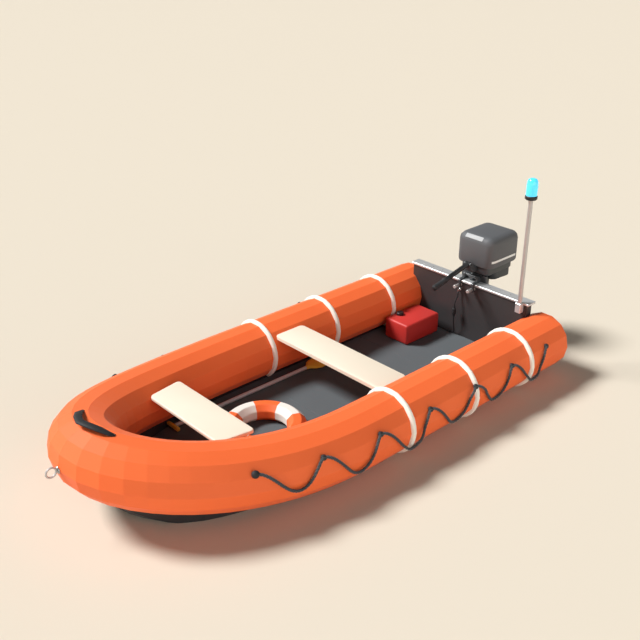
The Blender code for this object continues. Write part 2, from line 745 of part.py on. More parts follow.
def mast():
    """A pole in a socket on the transom's front, with a flashing light on top."""
    socket = box(
        "mast_socket", (CAP_FRONT + SEAT, MAST_Y - 0.025, MAST_FOOT - 0.006),
        (MAST_X + 0.025, MAST_Y + 0.025, CAP_TOP), ALUMINIUM, bevel=0.003, segments=1,
    )
    block = box(
        "socket_block", (TRANSOM_FRONT + SEAT, MAST_Y - 0.018, MAST_FOOT - 0.002),
        (MAST_X - 0.010, MAST_Y + 0.018, MAST_FOOT + 0.042), ALUMINIUM,
    )
    bore = rod(
        "socket_bore", (MAST_X, MAST_Y, MAST_FOOT - SEAT), (MAST_X, MAST_Y, MAST_FOOT + 0.1),
        MAST_RADIUS + 2 * SEAT, ALUMINIUM, 20,
    )
    cut(joined(socket, block), bore)
    rod("mast", (MAST_X, MAST_Y, MAST_FOOT), (MAST_X, MAST_Y, MAST_TOP), MAST_RADIUS, ALUMINIUM, 16)
    turned(
        "light_base", [(0, 0), (0.040, 0), (0.046, 0.006), (0.046, 0.026), (0.041, 0.031), (0, 0.031)],
        BLACK, 20, (MAST_X, MAST_Y, MAST_TOP + SEAT),
    )
    turned(
        "light_lens",
        [(0, 0), (0.0415, 0), (0.0425, 0.070), (0.040, 0.105), (0.031, 0.123), (0.014, 0.130), (0, 0.131)],
        LENS, 20, (MAST_X, MAST_Y, MAST_TOP + 0.031 + 2 * SEAT),
    )


def ring_points(x, z, radius, start, end, steps):
    """Points on an arc in the XZ plane, angles in degrees from +X towards +Z."""
    found = []
    for i in range(steps + 1):
        angle = math.radians(start + (end - start) * i / steps)
        found.append((x + radius * math.cos(angle), z + radius * math.sin(angle)))
    return found


def clamp_bracket():
    """Two arms that hook over the transom cap, joined by a bar that bears on the transom."""
    outline = [
        (-0.972, 0.482), (-0.972, 0.552), (-0.980, 0.560), (-1.024, 0.560),
        *ring_points(TILT_X, TILT_Z, 0.0145, -10, 160, 7),
        (-1.090, 0.560), (-1.118, 0.532), (-1.118, 0.345), (-1.108, 0.330), (-1.092, 0.330),
        (CAP_AFT - SEAT, 0.345), (CAP_AFT - SEAT, CAP_TOP + SEAT), (CAP_FRONT + SEAT, CAP_TOP + SEAT),
        (CAP_FRONT + SEAT, 0.482),
    ]
    arms = [
        plate(f"arm_{side}", outline, side * ARM_Y - ARM_HALF, side * ARM_Y + ARM_HALF, MOTOR_GREY, axis="Y")
        for side in (1, -1)
    ]
    bracket = plate(
        "clamp_bracket",
        [(-1.098, 0.335), (TRANSOM_AFT - SEAT, 0.335), (TRANSOM_AFT - SEAT, 0.372), (-1.098, 0.372)],
        -ARM_Y - 0.006, ARM_Y + 0.006, MOTOR_GREY, axis="Y",
    )
    joined(bracket, *arms)
    pin = rod("pin_hole", (TILT_X, -0.1, TILT_Z), (TILT_X, 0.1, TILT_Z), 0.006 + RUN, MOTOR_GREY, 20)
    holes = [
        rod(f"screw_hole_{side}", (-1.0, side * ARM_Y, SCREW_Z), (-0.95, side * ARM_Y, SCREW_Z),
            0.008 + RUN, MOTOR_GREY, 16)
        for side in (1, -1)
    ]
    cut(bracket, pin, *holes)
    for side, word in ((1, "port"), (-1, "starboard")):
        turned(
            f"clamp_screw_{word}",
            [(0, 0), (0.0142, 0), (0.0142, 0.005), (0.008, 0.007), (0.008, 0.0315), (0.0145, 0.032),
             (0.0145, 0.0845), (0.0125, 0.0865), (0, 0.0865)],
            ALUMINIUM, 16, (TRANSOM_FRONT + SEAT, side * ARM_Y, SCREW_Z), (1, 0, 0),
        )


def swivel_bracket():
    """Turns on the tilt pin and holds the steering shaft behind the transom."""
    web = plate(
        "swivel_bracket",
        [(-1.036, 0.5555), (-1.036, 0.578), (-1.150, 0.578), (-1.150, 0.500), (-1.112, 0.500),
         (-1.094, 0.540), (-1.094, 0.5555)],
        -0.020, 0.020, MOTOR_GREY, axis="Y",
    )
    knuckle = rod("knuckle", (TILT_X, -0.052, TILT_Z), (TILT_X, 0.052, TILT_Z), 0.0135, MOTOR_GREY, 20)
    pin = rod("tilt_pin", (TILT_X, -0.084, TILT_Z), (TILT_X, 0.084, TILT_Z), 0.006, MOTOR_GREY, 20)
    riser = box("riser", (-1.100, -0.018, 0.570), (-1.060, 0.018, 0.600), MOTOR_GREY)
    beam = box("beam", (-1.100, -0.100, 0.582), (-1.078, 0.100, 0.606), MOTOR_GREY, 0.004, 1)
    barrel = rod("barrel", (STEER_X, 0, 0.298), (STEER_X, 0, 0.578), 0.024, MOTOR_GREY, 20)
    bore = rod("barrel_bore", (STEER_X, 0, 0.2), (STEER_X, 0, 0.7), 0.010 + RUN, MOTOR_GREY, 20)
    return cut(joined(web, knuckle, pin, riser, beam, barrel), bore)


def foil(x_front, x_back, half, z, count=16):
    """A level section of the leg: blunt in front, finer behind."""
    middle, reach = (x_front + x_back) / 2, (x_front - x_back) / 2
    points = []
    for k in range(count):
        angle = 2 * math.pi * k / count
        c, s = math.cos(angle), math.sin(angle)
        points.append(Vector((
            middle + reach * math.copysign(abs(c) ** 0.8, c),
            half * math.copysign(abs(s) ** 0.7, s) * (1.0 + 0.15 * c), z,
        )))
    return points


# Leg sections from the top down: Z, front X, back X, half width
LEG = ((0.5394, -1.166, -1.274, 0.034), (0.250, -1.166, -1.276, 0.034), (0.060, -1.160, -1.285, 0.032),
       (-0.040, -1.150, -1.300, 0.034), (-0.0847, -1.145, -1.315, 0.036))


def motor_leg():
    leg = loft("motor_leg", [foil(a, b, half, z) for z, a, b, half in LEG], MOTOR_GREY)
    yoke = plate(
        "lower_yoke", rounded_outline((-1.185, -0.022), (-1.113, 0.022), 0.020),
        0.262, 0.2895, MOTOR_GREY,
    )
    joined(leg, yoke)
    shaft = rod("steering_shaft", (STEER_X, 0, 0.2898), (STEER_X, 0, 0.5847), 0.010, ALUMINIUM, 20)
    return [leg, shaft]


def lower_pan():
    """The tray under the cowl, its deeper aft part and the yoke over the steering shaft."""
    pan = plate(
        "lower_pan", rounded_outline((-1.410, -0.137), (-1.065, 0.137), 0.055),
        PAN_BOTTOM, COWL_BOTTOM - SEAT, MOTOR_GREY, bevel=0.010, both=True,
    )
    deep = plate(
        "pan_deep", rounded_outline((-1.390, -0.118), (-1.180, 0.118), 0.055),
        PAN_BOTTOM + 0.02, 0.540, MOTOR_GREY, bevel=0.010,
    )
    yoke = plate(
        "upper_yoke", rounded_outline((-1.200, -0.028), (-1.111, 0.028), 0.020),
        0.585, PAN_BOTTOM + 0.01, MOTOR_GREY,
    )
    return joined(pan, deep, yoke)


def cowl():
    """A hollow cover with broad rounded edges, open below."""
    bm = bmesh.new()
    bmesh.ops.create_cube(bm, size=1)
    low, high = Vector((-1.436, -0.177, COWL_BOTTOM)), Vector((-1.042, 0.177, COWL_TOP))
    bmesh.ops.scale(bm, vec=high - low, verts=bm.verts)
    bmesh.ops.translate(bm, vec=(low + high) / 2, verts=bm.verts)

    def rounded(edges, offset, segments):
        bmesh.ops.bevel(
            bm, geom=edges, offset=offset, segments=segments, profile=0.5, affect="EDGES", material=-1
        )

    rounded([e for e in bm.edges if abs(e.verts[0].co.z - e.verts[1].co.z) > 0.1], 0.064, 3)
    rounded([e for e in bm.edges if all(v.co.z > COWL_TOP - 1e-5 for v in e.verts)], 0.058, 3)
    rounded([e for e in bm.edges if all(v.co.z < COWL_BOTTOM + 1e-5 for v in e.verts)], 0.020, 2)
    cover = finished("cowl", bm, MOTOR_GREY)
    inside = box("cowl_inside", (-1.390, -0.122, 0.63), (-1.085, 0.122, 0.895), MOTOR_GREY, 0.02)
    cut(cover, inside)
    block = box("powerhead", (-1.375, -0.082, COWL_BOTTOM), (-1.100, 0.082, 0.860), BLACK, 0.010)
    return [cover, block]


def tiller():
    """The fork on the pan's front, and the tiller arm with its grip, which folds up in the fork."""
    fork = box("tiller_fork", (-1.065 + SEAT, -0.036, 0.635), (-1.014, 0.036, 0.6765), MOTOR_GREY)
    ear_line = [
        (-1.030, 0.640), (-0.985, 0.672), *ring_points(TILLER_X, TILLER_Z, 0.017, -40, 130, 6), (-1.020, 0.6985),
        (-1.030, 0.6985),
    ]
    for side in (1, -1):
        near, far = sorted((side * 0.0245, side * 0.036))
        joined(fork, plate(f"ear_{side}", ear_line, near, far, MOTOR_GREY, axis="Y"))
    hole = rod("ear_hole", (TILLER_X, -0.05, TILLER_Z), (TILLER_X, 0.05, TILLER_Z), 0.005 + RUN, MOTOR_GREY, 16)
    cut(fork, hole)
    slope = Vector((0.443, 0, -0.101)).normalized()
    root = Vector((TILLER_X, 0, TILLER_Z))
    arm = rod("tiller_arm", root, root + slope * 0.285, 0.0195, BLACK, 16)
    knuckle = rod("tiller_knuckle", root - Vector((0, 0.022, 0)), root + Vector((0, 0.022, 0)), 0.020, BLACK, 20)
    pin = rod("tiller_pin", root - Vector((0, 0.035, 0)), root + Vector((0, 0.035, 0)), 0.005, BLACK, 16)
    joined(arm, knuckle, pin)
    grip = turned(
        "tiller_grip",
        [(0, 0), (0.0240, 0), (0.0240, 0.012), (0.0215, 0.016), (0.0220, 0.120), (0.0240, 0.132),
         (0.0180, 0.141), (0, 0.142)],
        RUBBER, 16, root + slope * (0.285 + SEAT), slope,
    )
    return [fork], [arm, grip]


def gearcase():
    """Ventilation plate, strut, torpedo and skeg as one casting, bored for the propeller shaft."""
    case = plate(
        "gearcase",
        [(-1.118, 0.0), (-1.140, 0.040), (-1.200, 0.072), (-1.300, 0.088), (-1.440, 0.088),
         (-1.450, 0.0), (-1.440, -0.088), (-1.300, -0.088), (-1.200, -0.072), (-1.140, -0.040)],
        -0.0925, -0.085, MOTOR_GREY,
    )
    strut = loft(
        "strut", [foil(-1.145, -1.318, 0.032, -0.088), foil(-1.150, -1.325, 0.024, -0.225)], MOTOR_GREY,
    )
    torpedo = turned(
        "torpedo",
        [(0, 0), (0.012, 0.006), (0.026, 0.030), (0.038, 0.075), (0.042, 0.120), (0.042, 0.220), (0.036, 0.270),
         (0, 0.270)],
        MOTOR_GREY, 18, (-1.120, 0, PROP_Z), (-1, 0, 0),
    )
    skeg = plate(
        "skeg", [(-1.185, -0.245), (-1.250, -0.350), (-1.335, -0.360), (-1.325, -0.245)],
        -0.0045, 0.0045, MOTOR_GREY, axis="Y",
    )
    bore = rod("shaft_bore", (-1.340, 0, PROP_Z), (-1.5, 0, PROP_Z), 0.010 + RUN, MOTOR_GREY, 20)
    return cut(joined(case, strut, torpedo, skeg), bore)


BLADES = 3
# Propeller blade sections outwards: radius, half chord, pitch angle in degrees, half thickness
BLADE_STEPS = ((0.026, 0.026, 58, 0.0055), (0.060, 0.046, 42, 0.0045), (0.095, 0.050, 31, 0.0035),
               (0.116, 0.034, 26, 0.0028), (0.124, 0.012, 24, 0.0022))


def propeller():
    """A hub with three pitched blades, on the end of its shaft."""
    front = -1.390 - 0.005
    hub = turned(
        "propeller", [(0, 0), (0.034, 0), (0.036, 0.012), (0.034, 0.070), (0.024, 0.086), (0, 0.090)],
        ALUMINIUM, 18, (front, 0, PROP_Z), (-1, 0, 0),
    )
    shaft = rod("propeller_shaft", (-1.3405, 0, PROP_Z), (front - 0.01, 0, PROP_Z), 0.010, ALUMINIUM, 20)
    joined(hub, shaft)
    middle = Vector((front - 0.040, 0, PROP_Z))
    for blade in range(BLADES):
        turn = Matrix.Rotation(2 * math.pi * blade / BLADES, 3, "X")
        rings = []
        for radius, chord, pitch, thick in BLADE_STEPS:
            lean = math.radians(pitch)
            along = Vector((math.sin(lean), math.cos(lean), 0))
            across = Vector((-math.cos(lean), math.sin(lean), 0))
            rings.append([
                middle + turn @ (UP * radius + along * chord * math.cos(a) + across * thick * math.sin(a))
                for a in (2 * math.pi * k / 10 for k in range(10))
            ])
        joined(hub, loft(f"blade_{blade}", rings, ALUMINIUM))
    return hub


def hinge_point(name, at, parent=None):
    """An empty on a joint's axis, which carries what moves there."""
    made = bpy.data.objects.new(name, None)
    made.location = at
    bpy.context.scene.collection.objects.link(made)
    if parent:
        carry(parent, [made])
    return made


def carry(parent, pieces):
    bpy.context.view_layer.update()
    for piece in pieces:
        piece.parent = parent
        piece.matrix_parent_inverse = parent.matrix_world.inverted()


def outboard():
    clamp_bracket()
    tilt = hinge_point("motor_tilt", (TILT_X, 0, TILT_Z))
    carry(tilt, [swivel_bracket()])
    steer = hinge_point("motor_steering", (STEER_X, 0, 0.585), tilt)
    fork, arm = tiller()
    carry(steer, [*motor_leg(), lower_pan(), *cowl(), *fork, gearcase()])
    fold = hinge_point("tiller_fold", (TILLER_X, 0, TILLER_Z), steer)
    carry(fold, arm)
    spin = hinge_point("propeller_spin", (-1.435, 0, PROP_Z), steer)
    carry(spin, [propeller()])


tubes()
bands()
lifelines()
hull()
floorboards()
transom()
thwarts()
lifebuoy()
fuel_tank()
fuel_line()
paddle()
bow_handle()
tow_ring()
mast()
outboard()
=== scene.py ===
# %% [markdown]
# # An inflatable rescue dinghy
#
# The solids of the boat come ready made as a frame: tubes, hull, boards, outboard and loose gear,
# each a mesh in metres with +X to the bow, +Y to port and the waterline at Z = 0. This script gives
# them their finish. It keeps the solids whose form is right and dresses them with procedural
# materials, and it makes anew what needs finer work than a plain solid: the hose, the laid rope of
# the lifelines, the lifebuoy, the fore thwart, the motor's pan and trim, and valves and screws.
# Round them it sets up the camera, the floor and the studio light.

import json
import math

import bmesh
import bpy
import numpy as np
from mathutils import Matrix, Vector


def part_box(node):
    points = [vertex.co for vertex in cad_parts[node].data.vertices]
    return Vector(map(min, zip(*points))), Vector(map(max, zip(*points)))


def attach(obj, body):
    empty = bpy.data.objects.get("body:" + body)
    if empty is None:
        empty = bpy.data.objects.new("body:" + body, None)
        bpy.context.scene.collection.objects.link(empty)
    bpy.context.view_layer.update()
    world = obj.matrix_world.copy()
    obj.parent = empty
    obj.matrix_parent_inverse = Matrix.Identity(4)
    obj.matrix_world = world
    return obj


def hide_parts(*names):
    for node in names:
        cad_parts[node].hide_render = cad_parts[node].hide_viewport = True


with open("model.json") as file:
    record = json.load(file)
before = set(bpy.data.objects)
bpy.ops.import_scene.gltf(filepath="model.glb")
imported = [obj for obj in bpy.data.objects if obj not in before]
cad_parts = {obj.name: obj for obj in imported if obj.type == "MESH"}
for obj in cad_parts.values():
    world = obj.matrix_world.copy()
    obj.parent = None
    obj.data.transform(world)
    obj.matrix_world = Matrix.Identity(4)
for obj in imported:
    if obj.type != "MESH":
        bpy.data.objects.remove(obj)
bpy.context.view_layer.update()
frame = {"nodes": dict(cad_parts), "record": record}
nodes = frame["nodes"]
scene = bpy.context.scene
UP = Vector((0, 0, 1))

# %% [markdown]
# ## The camera
#
# The picture looks down on the port bow. A camera is placed by the direction it looks back along,
# which two angles describe well: an azimuth round the boat and an elevation above the water.

# %% Place the camera
CAMERA_AT = Vector((4.429, 4.107, 3.451))
CAMERA_AZIMUTH = math.radians(137.356)
CAMERA_ELEVATION = math.radians(25.907)
LENS_MM, SENSOR_MM = 50, 36
SIGHT = 2000

camera = bpy.data.objects.new("Camera", bpy.data.cameras.new("Camera"))
camera.data.lens = LENS_MM
camera.data.sensor_width = SENSOR_MM
camera.data.clip_end = SIGHT
back = Vector((
    math.sin(CAMERA_AZIMUTH) * math.cos(CAMERA_ELEVATION),
    -math.cos(CAMERA_AZIMUTH) * math.cos(CAMERA_ELEVATION),
    math.sin(CAMERA_ELEVATION),
))
camera.location = CAMERA_AT
camera.rotation_euler = back.to_track_quat("Z", "Y").to_euler()
scene.collection.objects.link(camera)
scene.camera = camera
print("camera looks back along", tuple(round(v, 3) for v in back))

# %% [markdown]
# ## The fuel hose
#
# A rubber hose leaves a fitting on the transom, hangs down to a squeeze bulb and goes on to the
# red tank. It is limp enough to hang plumb and stiff enough to make one easy bend at the bottom,
# no tighter than about four times its own thickness, since a real hose would kink beyond that. The
# points below are its centre line. A curve swept with a round bevel is the simplest true tube, and
# as the lifelines need the same sweep, one function makes it and hands back a plain mesh.

# %% Lay the hose
HOSE_RADIUS = 0.006
HOSE_SPACING = 0.017
FINE_STEPS = 12
HOSE_ROUTE = (
    (-0.978, -0.072, 0.440), (-0.978, -0.072, 0.431), (-0.9736, -0.0729, 0.404),
    (-0.963, -0.075, 0.3765), (-0.9524, -0.0771, 0.349), (-0.948, -0.078, 0.322),
    (-0.948, -0.078, 0.3135), (-0.948, -0.078, 0.268), (-0.948, -0.078, 0.2225),
    (-0.949, -0.078, 0.180), (-0.956, -0.078, 0.135), (-0.967, -0.080, 0.100),
    (-0.978, -0.088, 0.071), (-0.986, -0.106, 0.054), (-0.9895, -0.135, 0.0465),
    (-0.990, -0.170, 0.0459), (-0.990, -0.220, 0.0459), (-0.990, -0.272, 0.0462),
    (-0.9863, -0.2904, 0.0472), (-0.9759, -0.3059, 0.0498), (-0.9604, -0.3163, 0.0528),
    (-0.942, -0.320, 0.0540), (-0.9345, -0.320, 0.0540),
)


def smooth_route(points, spacing):
    """Points every so often along a smooth curve through the given ones."""
    p = [Vector(point) for point in points]
    fine = []
    for i in range(len(p) - 1):
        a, b = p[max(i - 1, 0)], p[i]
        c, d = p[i + 1], p[min(i + 2, len(p) - 1)]
        for k in range(FINE_STEPS):
            t = k / FINE_STEPS
            fine.append(0.5 * (
                2 * b + (c - a) * t + (2 * a - 5 * b + 4 * c - d) * t * t
                + (3 * b - a - 3 * c + d) * t ** 3
            ))
    fine.append(p[-1])
    steps = np.cumsum([0.0] + [(v - u).length for u, v in zip(fine, fine[1:])])
    count = max(2, round(steps[-1] / spacing))
    wanted = np.linspace(0, steps[-1], count + 1)
    columns = [np.interp(wanted, steps, [point[axis] for point in fine]) for axis in range(3)]
    return [Vector(point) for point in zip(*columns)]


def round_tube(name, routes, radius, sides=2):
    """One mesh of round tubes, each along one of the routes, made by way of a bevelled curve."""
    data = bpy.data.curves.new(name + "_line", "CURVE")
    data.dimensions = "3D"
    data.bevel_depth = radius
    data.bevel_resolution = sides
    data.use_fill_caps = True
    for route in routes:
        spline = data.splines.new("POLY")
        spline.points.add(len(route) - 1)
        for knot, point in zip(spline.points, route):
            knot.co = (*point, 1)
    line = bpy.data.objects.new(name + "_line", data)
    scene.collection.objects.link(line)
    shape = line.evaluated_get(bpy.context.evaluated_depsgraph_get())
    bm = bmesh.new()
    bm.from_mesh(bpy.data.meshes.new_from_object(shape))
    bpy.data.objects.remove(line)
    bmesh.ops.remove_doubles(bm, verts=bm.verts, dist=1e-6)
    bmesh.ops.recalc_face_normals(bm, faces=bm.faces)
    mesh = bpy.data.meshes.new(name)
    bm.to_mesh(mesh)
    bm.free()
    mesh.shade_smooth()
    made = bpy.data.objects.new(name, mesh)
    scene.collection.objects.link(made)
    return made


hose_points = smooth_route(HOSE_ROUTE, HOSE_SPACING)
hose = round_tube("fuel_hose", [hose_points], HOSE_RADIUS, sides=4)
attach(hose, "boat")
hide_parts("fuel_hose_upper", "fuel_hose_lower")

# %% [markdown]
# ## The stage
#
# The boat sits on a pale, warm studio floor that stands for the water. It reaches far enough for
# its edge to lie at the horizon in low views, and the camera sees that far. Two small functions
# come first, since every material needs them: one turns a hex colour into the linear values that
# shaders work in, the other adds a node with its settings and links.

# %% Build the stage
def linear(hex_colour):
    """An sRGB hex colour as linear RGBA, which the shaders take."""
    channels = [int(hex_colour[i:i + 2], 16) / 255 for i in (1, 3, 5)]
    return (*(c / 12.92 if c <= 0.04045 else ((c + 0.055) / 1.055) ** 2.4 for c in channels), 1)


def add(tree, kind, inputs=None, **settings):
    """A node with its settings, each input given as a value or as the socket that feeds it."""
    made = tree.nodes.new(kind)
    for name, value in settings.items():
        setattr(made, name, value)
    for socket, value in (inputs or {}).items():
        if isinstance(value, bpy.types.NodeSocket):
            tree.links.new(value, made.inputs[socket])
        else:
            made.inputs[socket].default_value = value
    return made


scene.view_settings.view_transform = "Standard"

studio_paper = bpy.data.materials.new("studio paper")
studio_paper.use_nodes = True
paper = studio_paper.node_tree.nodes["Principled BSDF"].inputs
paper["Base Color"].default_value = linear("#dbd1c0")
paper["Roughness"].default_value = 0.95
paper["Specular IOR Level"].default_value = 0.1

FLOOR_REACH = 600
floor_bm = bmesh.new()
bmesh.ops.create_grid(floor_bm, x_segments=1, y_segments=1, size=FLOOR_REACH)
floor_mesh = bpy.data.meshes.new("studio_floor")
floor_bm.to_mesh(floor_mesh)
floor_bm.free()
floor_mesh.materials.append(studio_paper)
studio_floor = bpy.data.objects.new("studio_floor", floor_mesh)
scene.collection.objects.link(studio_floor)
print("floor reaches", FLOOR_REACH, "m each way")

# %% [markdown]
# ## The light
#
# One strong light comes from high over the starboard bow, so the boat's shadow falls aft and to
# port. Sun lamps light a subject four metres long evenly from end to end, which a near area lamp
# can't, and the lamp's angle sets how wide the soft edge of its shadow is: at 16 degrees an edge
# half a metre up blurs over 20 cm. A weak, very soft fill from low on the port side lights the
# flanks that face the picture and hardly touches the floor, so the shadow stays dark. The surround
# does the same from all round: it is as pale as the floor near the horizon, like a studio's far
# walls, and dim above them.

# %% Light the stage
# The surround is full and pale up to one elevation and dim from another on
PALE_UNTIL, DIM_FROM = math.radians(7), math.radians(15)
DIM_SHARE = 0.105

world = bpy.data.worlds.new("studio")
scene.world = world
world.use_nodes = True
surround = world.node_tree
direction = add(surround, "ShaderNodeTexCoord").outputs["Generated"]
height = add(surround, "ShaderNodeSeparateXYZ", {"Vector": direction}).outputs["Z"]
walls = add(surround, "ShaderNodeValToRGB", {"Fac": height})
walls.color_ramp.elements[0].position = math.sin(PALE_UNTIL)
walls.color_ramp.elements[1].position = math.sin(DIM_FROM)
walls.color_ramp.elements[0].color = linear("#f3e9d7")
walls.color_ramp.elements[1].color = [DIM_SHARE * c for c in linear("#fdfaf5")]
surround.links.new(walls.outputs["Color"], surround.nodes["Background"].inputs["Color"])

# Where each lamp shines from, its strength in W/m2 and its angle in degrees
LAMPS = {"key": ((0.59, -0.72, 1.00), 4.45, 16), "fill": ((0.25, 0.95, 0.14), 1.45, 60)}
for name, (shines_from, strength, spread) in LAMPS.items():
    lamp = bpy.data.objects.new(name, bpy.data.lights.new(name, "SUN"))
    lamp.data.energy = strength
    lamp.data.angle = math.radians(spread)
    lamp.rotation_euler = Vector(shines_from).to_track_quat("Z", "Y").to_euler()
    scene.collection.objects.link(lamp)
    on_floor = strength * Vector(shines_from).normalized().z / math.pi
    print(name, "light gives a white floor", round(on_floor, 2), "of full brightness")

# %% [markdown]
# ## Helpers for pieces
#
# A frame solid is stored as loose triangles. Where only its finish matters, a copy of it is merged,
# its flat faces are joined again and its edges get a small rounding, because a real edge always
# catches a line of light. The copy then stands for the solid.

# %% Define the piece helpers
def piece(name, bm, material, body="boat", angle=30):
    """Makes an object of a bmesh, smooth but for edges sharper than angle, riding on a body."""
    bmesh.ops.recalc_face_normals(bm, faces=bm.faces)
    mesh = bpy.data.meshes.new(name)
    bm.to_mesh(mesh)
    bm.free()
    mesh.shade_smooth()
    mesh.set_sharp_from_angle(angle=math.radians(angle))
    mesh.materials.append(material)
    made = bpy.data.objects.new(name, mesh)
    scene.collection.objects.link(made)
    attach(made, body)
    print(name, "has", len(mesh.polygons), "faces in", material.name)
    return made


BODY_OF = {
    node: body for body, names in frame["record"]["behaviour"]["bodies"].items() for node in names
}
MERGE = 2e-5
FLAT = math.radians(0.6)
PANEL_BEND, PANEL_SKEW = math.radians(9), math.radians(80)


def dressed(node, material, angle=30, edge=0.0, steps=2, panels=False):
    """A merged, smooth-shaded copy of a frame solid with rounded edges, which replaces it.

    panels keeps every four-sided panel of the solid as one face.
    """
    bm = bmesh.new()
    bm.from_mesh(nodes[node].data)
    bmesh.ops.remove_doubles(bm, verts=bm.verts, dist=MERGE)
    if panels:
        bmesh.ops.join_triangles(
            bm, faces=bm.faces, angle_face_threshold=PANEL_BEND, angle_shape_threshold=PANEL_SKEW
        )
    else:
        bmesh.ops.dissolve_limit(
            bm, angle_limit=FLAT, verts=bm.verts, edges=bm.edges, use_dissolve_boundaries=False
        )
    made = piece(node + "_skin", bm, material, BODY_OF[node], angle)
    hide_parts(node)
    if edge:
        bevel = made.modifiers.new("edge", "BEVEL")
        bevel.width = edge
        bevel.segments = steps
        bevel.limit_method = "ANGLE"
        bevel.angle_limit = math.radians(angle)
        bevel.harden_normals = True
    return made


def turned(name, profile, material, at, axis=UP, body="boat", steps=48, angle=35):
    """A solid of revolution from (radius, height) pairs, spun about the axis through at."""
    bm = bmesh.new()
    points = [bm.verts.new((radius, 0, height)) for radius, height in profile]
    edges = [bm.edges.new(pair) for pair in zip(points, points[1:])]
    bmesh.ops.spin(
        bm, geom=points + edges, cent=(0, 0, 0), axis=(0, 0, 1),
        angle=2 * math.pi, steps=steps, use_merge=True,
    )
    bmesh.ops.remove_doubles(bm, verts=bm.verts, dist=1e-6)
    turn = UP.rotation_difference(Vector(axis)).to_matrix().to_4x4()
    bmesh.ops.transform(bm, matrix=Matrix.Translation(at) @ turn, verts=bm.verts)
    return piece(name, bm, material, body, angle)


def eased(bm, edges, width, segments):
    """Rounds the given edges."""
    bmesh.ops.bevel(
        bm, geom=edges, offset=width, segments=segments, profile=0.5, affect="EDGES", material=-1
    )


CORNER_STEPS, RIM_STEPS = 6, 3
RIM_ANGLE = math.radians(60)


def block(name, low, high, material, corner, edge, body="boat", front=1.0, place=None):
    """A board or casting: round upright corners, eased edges, its forward end front as wide."""
    bm = bmesh.new()
    bmesh.ops.create_cube(bm, size=1)
    low, high = Vector(low), Vector(high)
    middle = (low + high) / 2
    bmesh.ops.scale(bm, vec=high - low, verts=bm.verts)
    bmesh.ops.scale(bm, vec=(1, front, 1), verts=[vert for vert in bm.verts if vert.co.x > 0])
    bmesh.ops.translate(bm, vec=middle, verts=bm.verts)
    upright = [e for e in bm.edges if abs(e.verts[0].co.z - e.verts[1].co.z) > 1e-6]
    eased(bm, upright, corner, CORNER_STEPS)
    rims = [e for e in bm.edges if e.calc_face_angle() > RIM_ANGLE]
    eased(bm, rims, edge, RIM_STEPS)
    if place:
        bmesh.ops.transform(bm, matrix=place, verts=bm.verts)
    return piece(name, bm, material, body, angle=35)


print("bodies:", sorted(set(BODY_OF.values())))

# %% [markdown]
# ## Finishes
#
# Every finish starts from what the real surface is. A finish is a Principled shader whose colour
# drifts a little, as any real coat does, and whose normal carries the texture that the making
# leaves: weave, grain, peel or brushing. Sizes are real, in millimetres.

# %% Start a finish
def finish(name, colour, roughness, metallic=0.0, coat=0.0):
    """A material, its node tree and its shader, with the plain values set."""
    made = bpy.data.materials.new(name)
    made.use_nodes = True
    tree = made.node_tree
    shader = tree.nodes["Principled BSDF"]
    shader.inputs["Base Color"].default_value = linear(colour)
    shader.inputs["Roughness"].default_value = roughness
    shader.inputs["Metallic"].default_value = metallic
    shader.inputs["Coat Weight"].default_value = coat
    shader.inputs["Coat Roughness"].default_value = 0.15
    return made, tree, shader


def drift(tree, shader, light, dark, patch_mm, contrast=0.5):
    """The colour wanders softly between two hex values over patches of a real size."""
    place = add(tree, "ShaderNodeTexCoord").outputs["Object"]
    noise = add(
        tree, "ShaderNodeTexNoise", {"Vector": place, "Scale": 1000 / patch_mm, "Detail": 4.0}
    )
    ramp = add(tree, "ShaderNodeValToRGB", {"Fac": noise.outputs["Fac"]})
    ramp.color_ramp.elements[0].position = 0.5 - 0.5 * contrast
    ramp.color_ramp.elements[1].position = 0.5 + 0.5 * contrast
    ramp.color_ramp.elements[0].color = linear(dark)
    ramp.color_ramp.elements[1].color = linear(light)
    tree.links.new(ramp.outputs["Color"], shader.inputs["Base Color"])
    return place


def texture(tree, shader, height, depth_mm, strength):
    """Puts a height pattern into the shader's normal."""
    values = {"Height": height, "Distance": depth_mm / 1000, "Strength": strength}
    bump = add(tree, "ShaderNodeBump", values)
    tree.links.new(bump.outputs["Normal"], shader.inputs["Normal"])


# %% [markdown]
# ### Coated fabric
#
# The tubes are polyester cloth with a thick coloured coat on both sides. The coat hides the yarns
# but lets their grid show as a faint regular grain. Real yarns are half a millimetre apart, far
# too fine for this picture, so the grain is drawn at 4 mm. Two crossed wave patterns make a grid.

# %% Coated fabric
# A wave texture at scale 1 repeats 20 times a metre
WAVES = 20


def coated_fabric(name, light, dark, roughness, grain_mm=4.0):
    """Cloth with a faint grid of yarns, grain_mm apart."""
    made, tree, shader = finish(name, light, roughness)
    place = drift(tree, shader, light, dark, patch_mm=700, contrast=0.7)
    turns = 1000 / grain_mm / WAVES
    warp = add(tree, "ShaderNodeTexWave", {"Vector": place, "Scale": turns}, bands_direction="X")
    weft = add(tree, "ShaderNodeTexWave", {"Vector": place, "Scale": turns}, bands_direction="Z")
    yarns = {0: warp.outputs["Fac"], 1: weft.outputs["Fac"]}
    both = add(tree, "ShaderNodeMath", yarns, operation="ADD")
    texture(tree, shader, both.outputs[0], depth_mm=0.15, strength=0.25)
    shader.inputs["Sheen Weight"].default_value = 0.05
    return made


TUBE_CLOTH = coated_fabric("orange coated fabric", "#fb7032", "#f86a2e", 0.66)
BAND_CLOTH = coated_fabric("white coated fabric", "#fffaf0", "#f8f1e4", 0.6)
HULL_CLOTH = coated_fabric("charcoal coated fabric", "#2c2d30", "#242528", 0.65)

